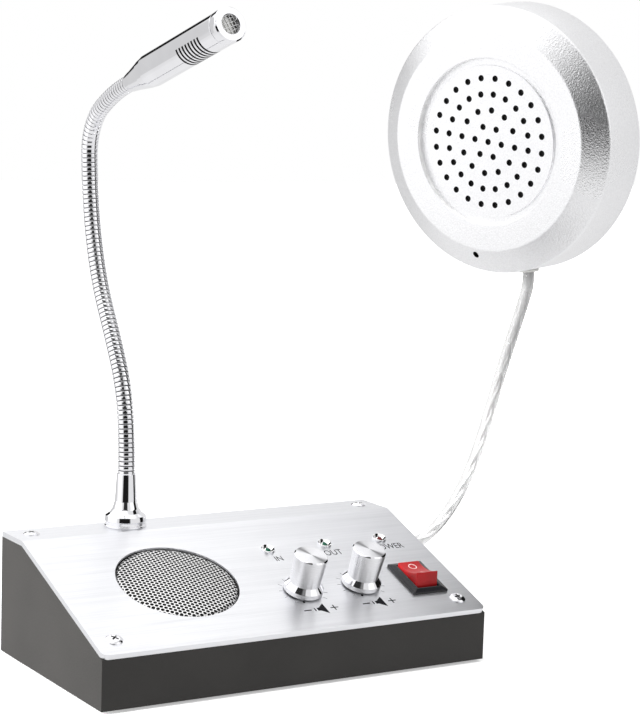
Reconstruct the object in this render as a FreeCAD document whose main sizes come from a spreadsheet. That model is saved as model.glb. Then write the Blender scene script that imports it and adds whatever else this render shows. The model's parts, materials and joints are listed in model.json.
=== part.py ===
"""Teller window intercom: a sloped desk unit with a gooseneck microphone, and the round outer
speaker unit that goes on the customer's side of the glass, with its cable.

X runs along the desk unit's width, +Y away from the teller, +Z up. The origin is the middle of
the desk unit's rubber base pad, on the counter. Lengths are in millimetres, angles in degrees.
"""
import FreeCAD, Part

import math
import os

import Sketcher

DIMENSIONS = (
    # rubber pad under the desk unit
    ("pad_thickness", 1.0),
    ("pad_side_inset", 12.5),
    ("pad_front_inset", 11.2),
    # desk unit casing, folded from sheet steel
    ("console_width", 165.0),
    ("console_depth", 90.4),
    ("front_height", 18.6),
    ("back_height", 45.0),
    ("top_band", 18.8),
    ("casing_wall", 1.2),
    ("base_thickness", 1.2),
    ("panel_gap", 0.15),
    ("post_width", 11.0),
    ("front_post_depth", 12.0),
    ("rear_post_depth", 12.0),
    # bent aluminium face plate and its screws
    ("plate_thickness", 2.0),
    ("plate_corner", 2.5),
    ("face_screw_inset", 8.1),
    ("face_screw_along", 7.8),
    ("face_screw_head_radius", 3.4),
    ("face_screw_head_height", 1.1),
    ("face_screw_shank_radius", 1.7),
    ("face_screw_length", 9.0),
    ("base_screw_head_radius", 2.8),
    ("base_screw_head_height", 0.8),
    ("base_screw_shank_radius", 1.45),
    ("base_screw_length", 7.2),
    ("pilot_gap", 0.05),
    ("screw_gap", 0.2),
    # desk loudspeaker, its mesh and its retainer
    ("retainer_left_gap", 15.3),
    ("retainer_right_gap", 6.7),
    ("grille_from_bend", 36.311991),
    ("grille_hole_radius", 23.8),
    ("grille_gap", 0.35),
    ("grille_flange_radius", 27.1),
    ("grille_sheet", 0.6),
    ("grille_shoulder", 1.1),
    ("grille_crown", 2.9),
    ("speaker_flange_radius", 27.3),
    ("speaker_mouth_radius", 22.4),
    ("speaker_neck_radius", 11.5),
    ("speaker_depth", 10.5),
    ("speaker_magnet_radius", 13.5),
    ("speaker_magnet_height", 6.0),
    ("basket_sheet", 0.8),
    ("cone_paper", 0.5),
    ("cone_rim_drop", 1.0),
    ("cone_surround", 2.4),
    ("cone_gap", 0.2),
    ("cone_cap_radius", 6.0),
    ("cone_cap_rise", 2.0),
    ("cone_depth", 6.5),
    ("retainer_radius", 32.0),
    ("retainer_thickness", 1.2),
    ("stud_circle_radius", 29.2),
    ("stud_radius", 1.5),
    ("stud_height", 6.0),
    ("stud_nut_radius", 3.0),
    ("stud_nut_height", 2.2),
    # the three columns of controls on the slope
    ("controls_from_right", 17.4),
    ("column_pitch", 26.2),
    ("knob_along", 25.0),
    ("led_along", 54.5),
    ("switch_along", 24.3),
    # volume controls
    ("shaft_radius", 3.0),
    ("shaft_fit", 0.05),
    ("shaft_reach", 13.0),
    ("shaft_end_gap", 0.3),
    ("pot_radius", 8.0),
    ("pot_height", 8.5),
    ("pot_floor", 1.0),
    ("bushing_radius", 3.7),
    ("bushing_reach", 3.2),
    ("bushing_gap", 0.1),
    ("pot_tag_width", 9.0),
    ("pot_tag_length", 3.0),
    ("bushing_nut_radius", 5.4),
    ("bushing_nut_height", 2.0),
    ("knob_lift", 0.6),
    ("knob_collar_radius", 7.8),
    ("knob_collar_height", 1.8),
    ("knob_waist_radius", 6.3),
    ("knob_waist_height", 5.4),
    ("knob_crown_radius", 6.05),
    ("knob_height", 15.6),
    ("knob_edge", 0.6),
    ("knob_cavity_radius", 5.8),
    ("knob_cavity_height", 4.6),
    ("knob_bore_gap", 0.02),
    # indicator lamps
    ("bezel_flange_radius", 2.9),
    ("bezel_barrel_radius", 2.4),
    ("bezel_height", 1.2),
    ("bezel_lip", 0.35),
    ("bezel_length", 6.0),
    ("bezel_seat_depth", 0.5),
    ("led_radius", 1.5),
    ("led_gap", 0.05),
    ("led_length", 5.5),
    ("led_shoulder", 0.6),
    # power rocker switch
    ("switch_bezel_width", 15.3),
    ("switch_bezel_length", 20.8),
    ("switch_bezel_height", 1.5),
    ("switch_bezel_chamfer", 1.5),
    ("switch_body_width", 12.9),
    ("switch_body_length", 18.8),
    ("switch_body_depth", 14.0),
    ("switch_cutout_gap", 0.1),
    ("rocker_width", 9.8),
    ("rocker_side_gap", 0.25),
    ("rocker_end_half", 6.9),
    ("rocker_belly_half", 7.3),
    ("rocker_end_height", 6.0),
    ("rocker_dip_height", 4.4),
    ("rocker_belly_drop", 2.2),
    ("rocker_keel_drop", 4.2),
    ("rocker_pivot_depth", 1.0),
    ("rocker_rest_tilt", 15.0),
    ("rocker_slot_half", 8.3),
    ("rocker_slot_depth", 9.0),
    ("rocker_axle_radius", 1.0),
    ("rocker_axle_reach", 0.6),
    ("tab_width", 4.8),
    ("tab_thickness", 0.8),
    ("tab_length", 6.0),
    ("tab_pitch", 7.0),
    # amplifier board
    ("board_from_left", 14.5),
    ("board_width", 104.0),
    ("board_depth", 62.0),
    ("board_middle", 2.0),
    ("board_thickness", 1.6),
    ("board_hole_inset", 4.0),
    ("standoff_height", 5.0),
    ("standoff_radius", 2.5),
    ("board_screw_radius", 1.4),
    ("board_screw_head_radius", 2.6),
    ("board_screw_head_height", 1.2),
    ("capacitor_radius", 3.15),
    ("capacitor_height", 11.0),
    ("capacitor_pitch", 8.5),
    ("capacitor_first", 4.0),
    ("chip_width", 16.0),
    ("chip_depth", 8.0),
    ("chip_height", 12.0),
    ("components_middle", 22.0),
    # rear sockets
    ("socket_height", 20.0),
    ("dc_from_left", 38.5),
    ("dc_barrel_radius", 4.0),
    ("dc_barrel_length", 12.0),
    ("dc_flange_radius", 5.5),
    ("dc_flange_height", 1.5),
    ("dc_bore_radius", 2.8),
    ("dc_bore_depth", 9.5),
    ("dc_pin_radius", 1.05),
    ("link_from_right", 48.5),
    ("link_barrel_radius", 4.0),
    ("link_barrel_length", 17.0),
    ("link_flange_radius", 4.9),
    ("link_flange_height", 1.2),
    ("link_bore_radius", 1.8),
    ("link_bore_depth", 14.0),
    ("socket_nut_radius", 6.0),
    ("socket_nut_height", 2.0),
    ("socket_gap", 0.1),
    # gooseneck ferrule
    ("ferrule_radius", 8.3),
    ("ferrule_rim", 4.5),
    ("ferrule_flare_radius", 5.6),
    ("ferrule_flare_height", 6.7),
    ("ferrule_waist_radius", 4.4),
    ("ferrule_waist_height", 10.2),
    ("ferrule_mouth_radius", 3.8),
    ("ferrule_height", 21.0),
    ("ferrule_socket_depth", 8.0),
    ("ferrule_stem_radius", 3.9),
    ("ferrule_stem_length", 8.0),
    ("wire_bore_radius", 2.2),
    ("ferrule_nut_radius", 7.0),
    ("ferrule_nut_height", 3.0),
    # gooseneck: eight equal lengths, each bent by its own angle (positive leans back)
    ("neck_radius", 3.35),
    ("neck_fit", 0.05),
    ("neck_tail", 7.0),
    ("neck_sink", 0.5),
    ("neck_heading", 3.1),
    ("neck_length", 21.8),
    ("neck_bend_a", 7.4),
    ("neck_bend_b", 19.4),
    ("neck_bend_c", 3.8),
    ("neck_bend_d", -11.7),
    ("neck_bend_e", -9.4),
    ("neck_bend_f", -6.9),
    ("neck_bend_g", -60.2),
    ("neck_bend_h", -15.7),
    ("neck_ball_gap", 0.3),
    # microphone head
    ("mic_length", 77.5),
    ("mic_tail_radius", 3.75),
    ("mic_throat_radius", 4.3),
    ("mic_throat_along", 6.0),
    ("mic_shoulder_radius", 6.0),
    ("mic_shoulder_along", 15.5),
    ("mic_barrel_radius", 6.5),
    ("mic_barrel_along", 19.5),
    ("mic_socket_depth", 6.0),
    ("mic_bore_radius", 5.0),
    ("mic_bore_along", 26.0),
    ("mic_ring_length", 4.2),
    ("mic_ring_radius", 6.6),
    ("mic_ring_edge", 0.5),
    ("mic_face_opening", 3.9),
    ("mic_face_thickness", 1.6),
    ("mic_mesh_thickness", 1.0),
    ("mic_seat_gap", 0.1),
    ("mic_capsule_length", 9.0),
    ("mic_groove_first", 37.5),
    ("mic_groove_pitch", 2.15),
    ("mic_groove_width", 0.95),
    ("mic_groove_depth", 0.6),
    ("mic_groove_span", 130.0),
    ("mic_groove_turn", 145.0),
    # outer unit: where its front rim's centre stands, and how it is turned
    ("outer_across", 151.7),
    ("outer_back", 55.1),
    ("outer_height", 201.4),
    ("outer_heading", -69.8),
    ("outer_tilt", -5.6),
    ("outer_roll", -8.4),
    ("outer_rim_radius", 58.7),
    ("outer_rear_radius", 59.6),
    ("outer_rear_depth", 23.0),
    ("outer_wall", 2.4),
    ("outer_crown_radius", 48.2),
    ("outer_crown", 6.8),
    ("outer_opening_radius", 36.5),
    ("outer_front_thickness", 2.5),
    ("outer_post_circle", 48.0),
    ("outer_post_radius", 3.3),
    ("outer_screw_radius", 1.4),
    ("outer_screw_head_radius", 2.7),
    ("outer_screw_head_height", 1.0),
    ("outer_screw_length", 9.0),
    ("outer_plate_thickness", 1.5),
    ("outer_plate_gap", 0.3),
    ("outer_foam_outer", 44.0),
    ("outer_foam_inner", 32.0),
    ("outer_foam_thickness", 1.5),
    # perforated disc of the outer unit
    ("disc_radius", 33.4),
    ("disc_rise", 1.0),
    ("disc_flange_radius", 40.0),
    ("disc_flange_thickness", 1.5),
    ("disc_hole_radius", 1.25),
    ("disc_ring_pitch", 6.96),
    # loudspeaker of the outer unit
    ("horn_flange_radius", 33.0),
    ("horn_mouth_radius", 28.6),
    ("horn_neck_radius", 14.0),
    ("horn_depth", 11.5),
    ("horn_magnet_radius", 16.0),
    ("horn_magnet_height", 6.0),
    # microphone of the outer unit, behind a small hole in the bevel
    ("outer_mic_circle", 51.0),
    ("outer_mic_hole_radius", 1.1),
    ("outer_mic_radius", 2.9),
    ("outer_mic_length", 3.2),
    ("outer_mic_cup_radius", 4.2),
    ("outer_mic_cup_depth", 3.4),
    ("outer_mic_floor", 0.1),
    # cable of the outer unit
    ("cable_radius", 2.6),
    ("cable_gap", 0.1),
    ("cable_inner_reach", 55.1),
    ("cable_outer_reach", 64.4),
    ("grommet_depth", 18.4),
    ("grommet_turn", 13.6),
    ("grommet_waist_radius", 3.5),
    ("grommet_flange_radius", 4.4),
    ("grommet_flange_thickness", 1.0),
    ("coil_across", 80.0),
    ("coil_back", 91.0),
    ("coil_inner_radius", 21.1),
    ("coil_outer_radius", 36.7),
    ("coil_layers", 4.0),
    # plug on the cable's free end
    ("plug_across", 34.0),
    ("plug_back", 58.5),
    ("plug_boot_length", 12.0),
    ("plug_body_radius", 4.6),
    ("plug_body_length", 19.0),
    ("plug_pin_radius", 1.75),
    ("plug_pin_length", 14.0),
)

COLUMNS = ("incoming", "outgoing", "power")
DISC_HOLE_COUNTS = (6, 12, 20, 24)
NECK_BENDS = ("a", "b", "c", "d", "e", "f", "g", "h")
OUTER_POST_ANGLES = (90.0, 210.0, 330.0)
MIC_GROOVES = 8
SPEAKER_STUDS = 3

# Route of the cable from below the grommet to the coil, and from the coil to the plug. The points
# are chosen by hand: the cable hangs from the outer unit and lands behind the desk unit.
CABLE_LEAD = (
    (174.6, 60.3, 127.0),
    (171.0, 62.5, 112.0),
    (167.8, 64.8, 97.5),
    (164.6, 67.3, 80.5),
    (160.2, 69.3, 61.5),
    (152.5, 70.3, 42.5),
    (139.0, 67.5, 28.0),
    (120.0, 61.5, 20.5),
    (102.0, 57.3, 18.2),
    (93.6, 56.9, 18.2),
)
CABLE_TAIL = (
    (66.4, 56.9, 2.6),
    (50.0, 58.5, 4.6),
    (34.0, 58.5, 4.6),
)

doc = FreeCAD.newDocument("TellerIntercom")
sheet = doc.addObject("Spreadsheet::Sheet", "Dims")
for row, (alias, size) in enumerate(DIMENSIONS, start=1):
    sheet.set("A%d" % row, alias)
    sheet.set("B%d" % row, str(size))
    sheet.setAlias("B%d" % row, alias)
doc.recompute()

nodes = []


def value(expression):
    """The number that an expression on the sheet comes to."""
    result = sheet.evalExpression(expression)
    return float(getattr(result, "Value", result))


def node(label, item):
    """Name a finished sub-part, and keep it for the export."""
    item.Label = label
    nodes.append(item)
    return item


# ---- shared lines of the desk unit, as expressions on the sheet ----

SLOPE = "atan((Dims.back_height - Dims.front_height) / (Dims.console_depth - Dims.top_band))"
RISE = "sin(%s)" % SLOPE
RUN = "cos(%s)" % SLOPE
FRONT_Y = "-Dims.console_depth / 2"
BACK_Y = "Dims.console_depth / 2"
BAND_MIDDLE_Y = "(Dims.console_depth - Dims.top_band) / 2"
CASING_Z = "Dims.pad_thickness"
FLOOR_Z = "(Dims.pad_thickness + Dims.base_thickness)"
SLOPE_Z = "(Dims.pad_thickness + Dims.front_height)"
BAND_Z = "(Dims.pad_thickness + Dims.back_height)"
PLATE_TOP_Z = "(Dims.pad_thickness + Dims.back_height + Dims.plate_thickness)"
SCREW_X = "(Dims.console_width / 2 - Dims.face_screw_inset)"
BOARD_X = "(Dims.board_from_left + Dims.board_width / 2 - Dims.console_width / 2)"
DC_X = "(Dims.dc_from_left - Dims.console_width / 2)"
LINK_X = "(Dims.console_width / 2 - Dims.link_from_right)"
POST_X = "(Dims.console_width / 2 - Dims.casing_wall - Dims.post_width / 2)"
SLOPE_LENGTH = "(Dims.console_depth - Dims.top_band) / %s" % RUN
GRILLE_ALONG = "(%s - Dims.grille_from_bend)" % SLOPE_LENGTH
INNER_LEFT = "(Dims.casing_wall - Dims.console_width / 2)"
FIRST_POT_LEFT = ("(Dims.console_width / 2 - Dims.controls_from_right - %d * Dims.column_pitch - Dims.pot_radius)"
                  % (len(COLUMNS) - 1))
RETAINER_ROOM = "(%s - %s - 2 * Dims.retainer_radius)" % (FIRST_POT_LEFT, INNER_LEFT)
LEFT_PART = "Dims.retainer_left_gap / (Dims.retainer_left_gap + Dims.retainer_right_gap)"
GRILLE_X = "(%s + Dims.retainer_radius + %s * %s)" % (INNER_LEFT, RETAINER_ROOM, LEFT_PART)


def place(item, x="0", y="0", z="0", axis=(0, 0, 1), angle=None):
    """Bind an object's place, and its turn about one axis, to expressions."""
    if angle is not None:
        item.Placement = FreeCAD.Placement(FreeCAD.Vector(), FreeCAD.Rotation(FreeCAD.Vector(*axis), 30))
        item.setExpression(".Placement.Rotation.Angle", angle)
    item.setExpression(".Placement.Base.x", x)
    item.setExpression(".Placement.Base.y", y)
    item.setExpression(".Placement.Base.z", z)
    return item


def seat_on_slope(item, across="0", along="0", rise="0"):
    """Stand an object square on the slope: along from the front edge, rise above the casing's edge."""
    y = "%s + (%s) * %s - (%s) * %s" % (FRONT_Y, along, RUN, rise, RISE)
    z = "%s + (%s) * %s + (%s) * %s" % (SLOPE_Z, along, RISE, rise, RUN)
    return place(item, across, y, z, (1, 0, 0), SLOPE)


def column(index):
    """Where a column of controls stands across the slope."""
    steps = len(COLUMNS) - 1 - index
    return "(Dims.console_width / 2 - Dims.controls_from_right - %d * Dims.column_pitch)" % steps


def outer_frame():
    """Placement of the outer unit: its front looks along local +Z, its foot is at local -Y."""
    turn = FreeCAD.Rotation(FreeCAD.Vector(0, 0, 1), value("Dims.outer_heading"))
    turn = turn.multiply(FreeCAD.Rotation(FreeCAD.Vector(1, 0, 0), value("90 - Dims.outer_tilt")))
    turn = turn.multiply(FreeCAD.Rotation(FreeCAD.Vector(0, 0, 1), value("Dims.outer_roll")))
    return FreeCAD.Placement(FreeCAD.Vector(), turn)


def seat_on_outer(item):
    """Place an object made in the outer unit's own frame."""
    item.Placement = outer_frame()
    item.setExpression(".Placement.Base.x", "Dims.outer_across")
    item.setExpression(".Placement.Base.y", "Dims.outer_back")
    item.setExpression(".Placement.Base.z", "Dims.outer_height")
    return item


# ---- shapes ----

def box(name, width, depth, height, x="0", y="0", z="0"):
    """A box centred on x and y, standing on z."""
    item = doc.addObject("Part::Box", name)
    item.setExpression("Length", width)
    item.setExpression("Width", depth)
    item.setExpression("Height", height)
    return place(item, "%s - (%s) / 2" % (x, width), "%s - (%s) / 2" % (y, depth), z)


def cylinder(name, radius, height, x="0", y="0", z="0", axis=(0, 0, 1), angle=None):
    """A cylinder that stands on the point x, y, z."""
    item = doc.addObject("Part::Cylinder", name)
    item.setExpression("Radius", radius)
    item.setExpression("Height", height)
    return place(item, x, y, z, axis, angle)


def hexagon(name, radius, height):
    """A six-sided prism, radius across its corners."""
    item = doc.addObject("Part::Prism", name)
    item.Polygon = 6
    item.setExpression("Circumradius", radius)
    item.setExpression("Height", height)
    return item


def fuse(name, parts):
    item = doc.addObject("Part::MultiFuse", name)
    item.Shapes = parts
    return item


def cut(name, base, tools):
    """The base with every tool taken out of it."""
    item = doc.addObject("Part::Cut", name)
    item.Base = base
    item.Tool = tools[0] if len(tools) == 1 else fuse(name + "_tools", tools)
    return item


def group(name, parts):
    """Separate solids of one kind that share a node."""
    item = doc.addObject("Part::Compound", name)
    item.Links = parts
    return item


def outline_sketch(body, plane_role, outline):
    """A closed sketch on one of the body's own planes, every corner bound to the sheet.

    The outline is a list of corners (x, y). An entry ("arc", x, y) between two corners makes the
    edge from one to the other an arc through that point.
    """
    sketch = body.newObject("Sketcher::SketchObject", body.Name + "_outline")
    plane = [feature for feature in body.Origin.OriginFeatures if feature.Role == plane_role][0]
    sketch.AttachmentSupport = [(plane, "")]
    sketch.MapMode = "FlatFace"
    corners = []
    bulges = {}
    for entry in outline:
        if entry[0] == "arc":
            bulges[len(corners) - 1] = entry[1:]
        else:
            corners.append(entry)
    points = [FreeCAD.Vector(value(x), value(y), 0) for x, y in corners]
    edges = []
    for index, start in enumerate(points):
        end = points[(index + 1) % len(points)]
        if index in bulges:
            through = FreeCAD.Vector(value(bulges[index][0]), value(bulges[index][1]), 0)
            edge = sketch.addGeometry(Part.Arc(start, through, end))
            via = sketch.addGeometry(Part.Point(through), True)
            bind_point(sketch, via, 1, bulges[index])
            sketch.addConstraint(Sketcher.Constraint("PointOnObject", via, 1, edge))
            first = 1 if sketch.getPoint(edge, 1).distanceToPoint(start) < 1e-6 else 2
            edges.append((edge, first, 3 - first))
        else:
            edge = sketch.addGeometry(Part.LineSegment(start, end))
            edges.append((edge, 1, 2))
    for index, (edge, first, _) in enumerate(edges):
        before, _, last = edges[index - 1]
        sketch.addConstraint(Sketcher.Constraint("Coincident", before, last, edge, first))
        bind_point(sketch, edge, first, corners[index])
    return sketch


def bind_point(sketch, edge, end, corner):
    """Tie one point of a sketch to expressions for its distances from the sketch's origin."""
    for kind, axis, expression in (("DistanceX", -2, corner[0]), ("DistanceY", -1, corner[1])):
        if expression == "0":
            sketch.addConstraint(Sketcher.Constraint("PointOnObject", edge, end, axis))
            continue
        distance = Sketcher.Constraint(kind, -1, 1, edge, end, value(expression))
        index = sketch.addConstraint(distance)
        sketch.setExpression("Constraints[%d]" % index, expression)


def turned(name, outline):
    """A body turned about its own Z axis from an outline of (radius, height) corners."""
    body = doc.addObject("PartDesign::Body", name)
    sketch = outline_sketch(body, "XZ_Plane", outline)
    turning = body.newObject("PartDesign::Revolution", name + "_turning")
    turning.Profile = sketch
    turning.ReferenceAxis = (sketch, ["V_Axis"])
    turning.Angle = 360
    body.Tip = turning
    return body


def extruded(name, plane_role, outline, depth, feature="PartDesign::Pad", body=None):
    """A body padded to both sides of one of its planes, or a pocket of that kind in a body."""
    if body is None:
        body = doc.addObject("PartDesign::Body", name)
    sketch = outline_sketch(body, plane_role, outline)
    step = body.newObject(feature, name + "_step")
    step.Profile = sketch
    step.SideType = "Symmetric"
    step.setExpression("Length", depth)
    body.Tip = step
    return body


def dome(radius, low, high):
    """The middle point of a round cap's profile, from its edge on (radius, low) to its top on the axis."""
    rise = "((%s) - (%s))" % (high, low)
    ball = "(((%s)^2 + %s^2) / (2 * %s))" % (radius, rise, rise)
    return ("arc", "(%s) / 2" % radius, "%s - %s + sqrt(%s^2 - (%s)^2 / 4)" % (high, ball, ball, radius))


def screw(name, head_radius, head_height, shank_radius, length):
    """A screw with a raised round head that sits on its own z = 0, its shank pointing down."""
    return turned(name, [
        ("0", "-(%s)" % length),
        (shank_radius, "-(%s)" % length),
        (shank_radius, "0"),
        (head_radius, "0"),
        dome(head_radius, "0", head_height),
        ("0", head_height),
    ])


def nut(name, radius, bore, height):
    """A hexagon nut that stands on its own z = 0."""
    blank = hexagon(name + "_blank", radius, height)
    hole = cylinder(name + "_hole", bore, height)
    return cut(name, blank, [hole])


# ---- desk unit: casing, base and face plate ----

def slope_height(y):
    """Height of the casing's sloping edge at a distance y, as an expression."""
    return "%s + (%s - (%s)) * tan(%s)" % (SLOPE_Z, y, FRONT_Y, SLOPE)


def casing_post(name, side, front):
    """A corner post that both the face plate's and the base plate's screws go into."""
    if front:
        outer = "%s + Dims.casing_wall" % FRONT_Y
        inner = "%s + Dims.front_post_depth" % outer
        top = [(inner, slope_height(inner)), (outer, slope_height(outer))]
    else:
        outer = "%s - Dims.casing_wall" % BACK_Y
        inner = "%s - Dims.rear_post_depth" % outer
        top = [(inner, BAND_Z), (outer, BAND_Z)]
    post = extruded(name, "YZ_Plane", [(outer, FLOOR_Z), (inner, FLOOR_Z)] + top, "Dims.post_width")
    return place(post, "%d * %s" % (side, POST_X))


def corner_sites():
    """The four corners: name, side along X, and whether the corner is at the front."""
    for side_name, side in (("left", -1), ("right", 1)):
        yield side_name + "_front", side, True
        yield side_name + "_rear", side, False


def post_middle(front):
    """Distance of a corner post's middle along Y, as an expression."""
    if front:
        return "%s + Dims.casing_wall + Dims.front_post_depth / 2" % FRONT_Y
    return "%s - Dims.casing_wall - Dims.rear_post_depth / 2" % BACK_Y


def face_fastener(name, side, front, make, sink):
    """Make something at one of the face plate's four screws, sink below the plate's top."""
    item = make(name)
    across = "%d * %s" % (side, SCREW_X)
    if front:
        return seat_on_slope(item, across, "Dims.face_screw_along", "Dims.plate_thickness - (%s)" % sink)
    return place(item, across, BAND_MIDDLE_Y, "%s - (%s)" % (PLATE_TOP_Z, sink))


def make_casing():
    """Open box of sheet steel with a sloping top edge, four posts and two holes in its rear wall."""
    outer = [
        (FRONT_Y, CASING_Z),
        (BACK_Y, CASING_Z),
        (BACK_Y, BAND_Z),
        ("%s - Dims.top_band" % BACK_Y, BAND_Z),
        (FRONT_Y, SLOPE_Z),
    ]
    hollow = [
        ("%s + Dims.casing_wall" % FRONT_Y, "0"),
        ("%s - Dims.casing_wall" % BACK_Y, "0"),
        ("%s - Dims.casing_wall" % BACK_Y, "%s + Dims.casing_wall" % BAND_Z),
        ("%s + Dims.casing_wall" % FRONT_Y, "%s + Dims.casing_wall" % BAND_Z),
    ]
    shell = extruded("casing_shell", "YZ_Plane", outer, "Dims.console_width")
    inner_width = "Dims.console_width - 2 * Dims.casing_wall"
    extruded("casing_hollow", "YZ_Plane", hollow, inner_width, "PartDesign::Pocket", shell)
    posts = [casing_post("post_" + name, side, front) for name, side, front in corner_sites()]
    body = fuse("casing_with_posts", [shell] + posts)
    holes = []
    for name, side, front in corner_sites():
        pilot = "Dims.face_screw_shank_radius + Dims.pilot_gap"
        depth = "Dims.face_screw_length + Dims.pilot_gap"

        def drill(label):
            return cylinder(label, pilot, depth)
        holes.append(face_fastener("pilot_" + name, side, front, drill, depth))
        holes.append(cylinder(
            "tap_" + name, "Dims.base_screw_shank_radius + Dims.pilot_gap",
            "Dims.base_screw_length + Dims.pilot_gap",
            "%d * %s" % (side, POST_X), post_middle(front), CASING_Z))
    holes.append(rear_hole("dc_hole", DC_X, "Dims.dc_barrel_radius"))
    holes.append(rear_hole("link_hole", LINK_X, "Dims.link_barrel_radius"))
    return node("casing", cut("casing", body, holes))


def rear_hole(name, across, radius):
    """A hole for a socket, right through the rear wall."""
    return cylinder(
        name, "%s + Dims.socket_gap" % radius, "3 * Dims.casing_wall",
        across, "%s + Dims.casing_wall" % BACK_Y, "Dims.socket_height", (1, 0, 0), "90")


def make_base():
    """Base plate inside the casing's lower edge, its screws, and the rubber pad under it."""
    inset = "2 * (Dims.casing_wall + Dims.panel_gap)"
    plate = box("base_blank", "Dims.console_width - " + inset, "Dims.console_depth - " + inset,
                "Dims.base_thickness", z=CASING_Z)
    holes = []
    screws = []
    for name, side, front in corner_sites():
        x = "%d * %s" % (side, POST_X)
        y = post_middle(front)
        holes.append(cylinder("base_hole_" + name, "Dims.base_screw_shank_radius + Dims.screw_gap",
                              "Dims.base_thickness", x, y, CASING_Z))
        bolt = screw("base_screw_" + name, "Dims.base_screw_head_radius", "Dims.base_screw_head_height",
                     "Dims.base_screw_shank_radius", "Dims.base_screw_length")
        screws.append(place(bolt, x, y, CASING_Z, (1, 0, 0), "180"))
    node("base_plate", cut("base_plate", plate, holes))
    node("base_screws", group("base_screws", screws))
    pad = box("pad_block", "Dims.console_width - 2 * Dims.pad_side_inset",
              "Dims.console_depth - 2 * Dims.pad_front_inset", "Dims.pad_thickness")
    node("base_pad", pad)


def plate_corner(name, side):
    """What is taken off a front corner of the face plate to round it."""
    corner = doc.addObject("Part::Box", name + "_square")
    for size, expression in (("Length", "Dims.plate_corner + 1"), ("Width", "Dims.plate_corner + 1"),
                             ("Height", "3 * Dims.plate_thickness")):
        corner.setExpression(size, expression)
    place(corner, "0" if side > 0 else "-Dims.plate_corner - 1", "-Dims.plate_corner - 1")
    keep = cylinder(name + "_round", "Dims.plate_corner", "3 * Dims.plate_thickness")
    tool = cut(name, corner, [keep])
    across = "%d * (Dims.console_width / 2 - Dims.plate_corner)" % side
    return seat_on_slope(tool, across, "Dims.plate_corner", "-Dims.plate_thickness")


def stud_site(index):
    """Where a speaker stud stands on the slope, as expressions across and along."""
    angle = 90 + index * 360 / SPEAKER_STUDS
    across = "%s + Dims.stud_circle_radius * cos(%g)" % (GRILLE_X, angle)
    along = GRILLE_ALONG + " + Dims.stud_circle_radius * sin(%g)" % angle
    return across, along


def make_face_plate():
    """Aluminium plate bent along the top edge, with its openings and its weld studs."""
    fold = "%s - Dims.top_band" % BACK_Y
    side_view = [
        (FRONT_Y, SLOPE_Z),
        (fold, BAND_Z),
        (BACK_Y, BAND_Z),
        (BACK_Y, PLATE_TOP_Z),
        ("%s - Dims.plate_thickness * tan(%s / 2)" % (fold, SLOPE), PLATE_TOP_Z),
        ("%s - Dims.plate_thickness * %s" % (FRONT_Y, RISE), "%s + Dims.plate_thickness * %s" % (SLOPE_Z, RUN)),
    ]
    blank = extruded("face_blank", "YZ_Plane", side_view, "Dims.console_width")
    studs = []
    for index in range(SPEAKER_STUDS):
        across, along = stud_site(index)
        stud = cylinder("stud_%d" % index, "Dims.stud_radius", "Dims.stud_height")
        studs.append(seat_on_slope(stud, across, along, "-Dims.stud_height"))
    through = "3 * Dims.plate_thickness"

    def opening(name, radius, across, along):
        return seat_on_slope(cylinder(name, radius, through), across, along, "-Dims.plate_thickness")
    tools = [opening("grille_hole", "Dims.grille_hole_radius", GRILLE_X, GRILLE_ALONG)]
    for index, name in enumerate(COLUMNS):
        tools.append(opening("lamp_hole_" + name, "Dims.bezel_barrel_radius + Dims.pilot_gap",
                             column(index), "Dims.led_along"))
        if name == "power":
            slot = box("switch_hole", "Dims.switch_body_width + 2 * Dims.switch_cutout_gap",
                       "Dims.switch_body_length + 2 * Dims.switch_cutout_gap", through)
            holder = group("switch_hole_tool", [slot])
            tools.append(seat_on_slope(holder, column(index), "Dims.switch_along", "-Dims.plate_thickness"))
        else:
            tools.append(opening("shaft_hole_" + name, "Dims.bushing_radius + Dims.bushing_gap",
                                 column(index), "Dims.knob_along"))
    tools.append(cylinder("ferrule_hole", "Dims.ferrule_stem_radius + Dims.bushing_gap", through,
                          GRILLE_X, BAND_MIDDLE_Y, "%s - Dims.plate_thickness" % BAND_Z))
    for name, side, front in corner_sites():
        def drill(label):
            return cylinder(label, "Dims.face_screw_shank_radius + Dims.screw_gap", through)
        tools.append(face_fastener("face_hole_" + name, side, front, drill, "2 * Dims.plate_thickness"))
    tools += [plate_corner("corner_left", -1), plate_corner("corner_right", 1)]
    node("face_plate", cut("face_plate", fuse("face_with_studs", [blank] + studs), tools))


def make_face_screws():
    screws = []
    for name, side, front in corner_sites():
        def make(label):
            return screw(label, "Dims.face_screw_head_radius", "Dims.face_screw_head_height",
                         "Dims.face_screw_shank_radius", "Dims.face_screw_length")
        screws.append(face_fastener("face_screw_" + name, side, front, make, "0"))
    node("face_plate_screws", group("face_plate_screws", screws))


# ---- loudspeakers ----

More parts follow.
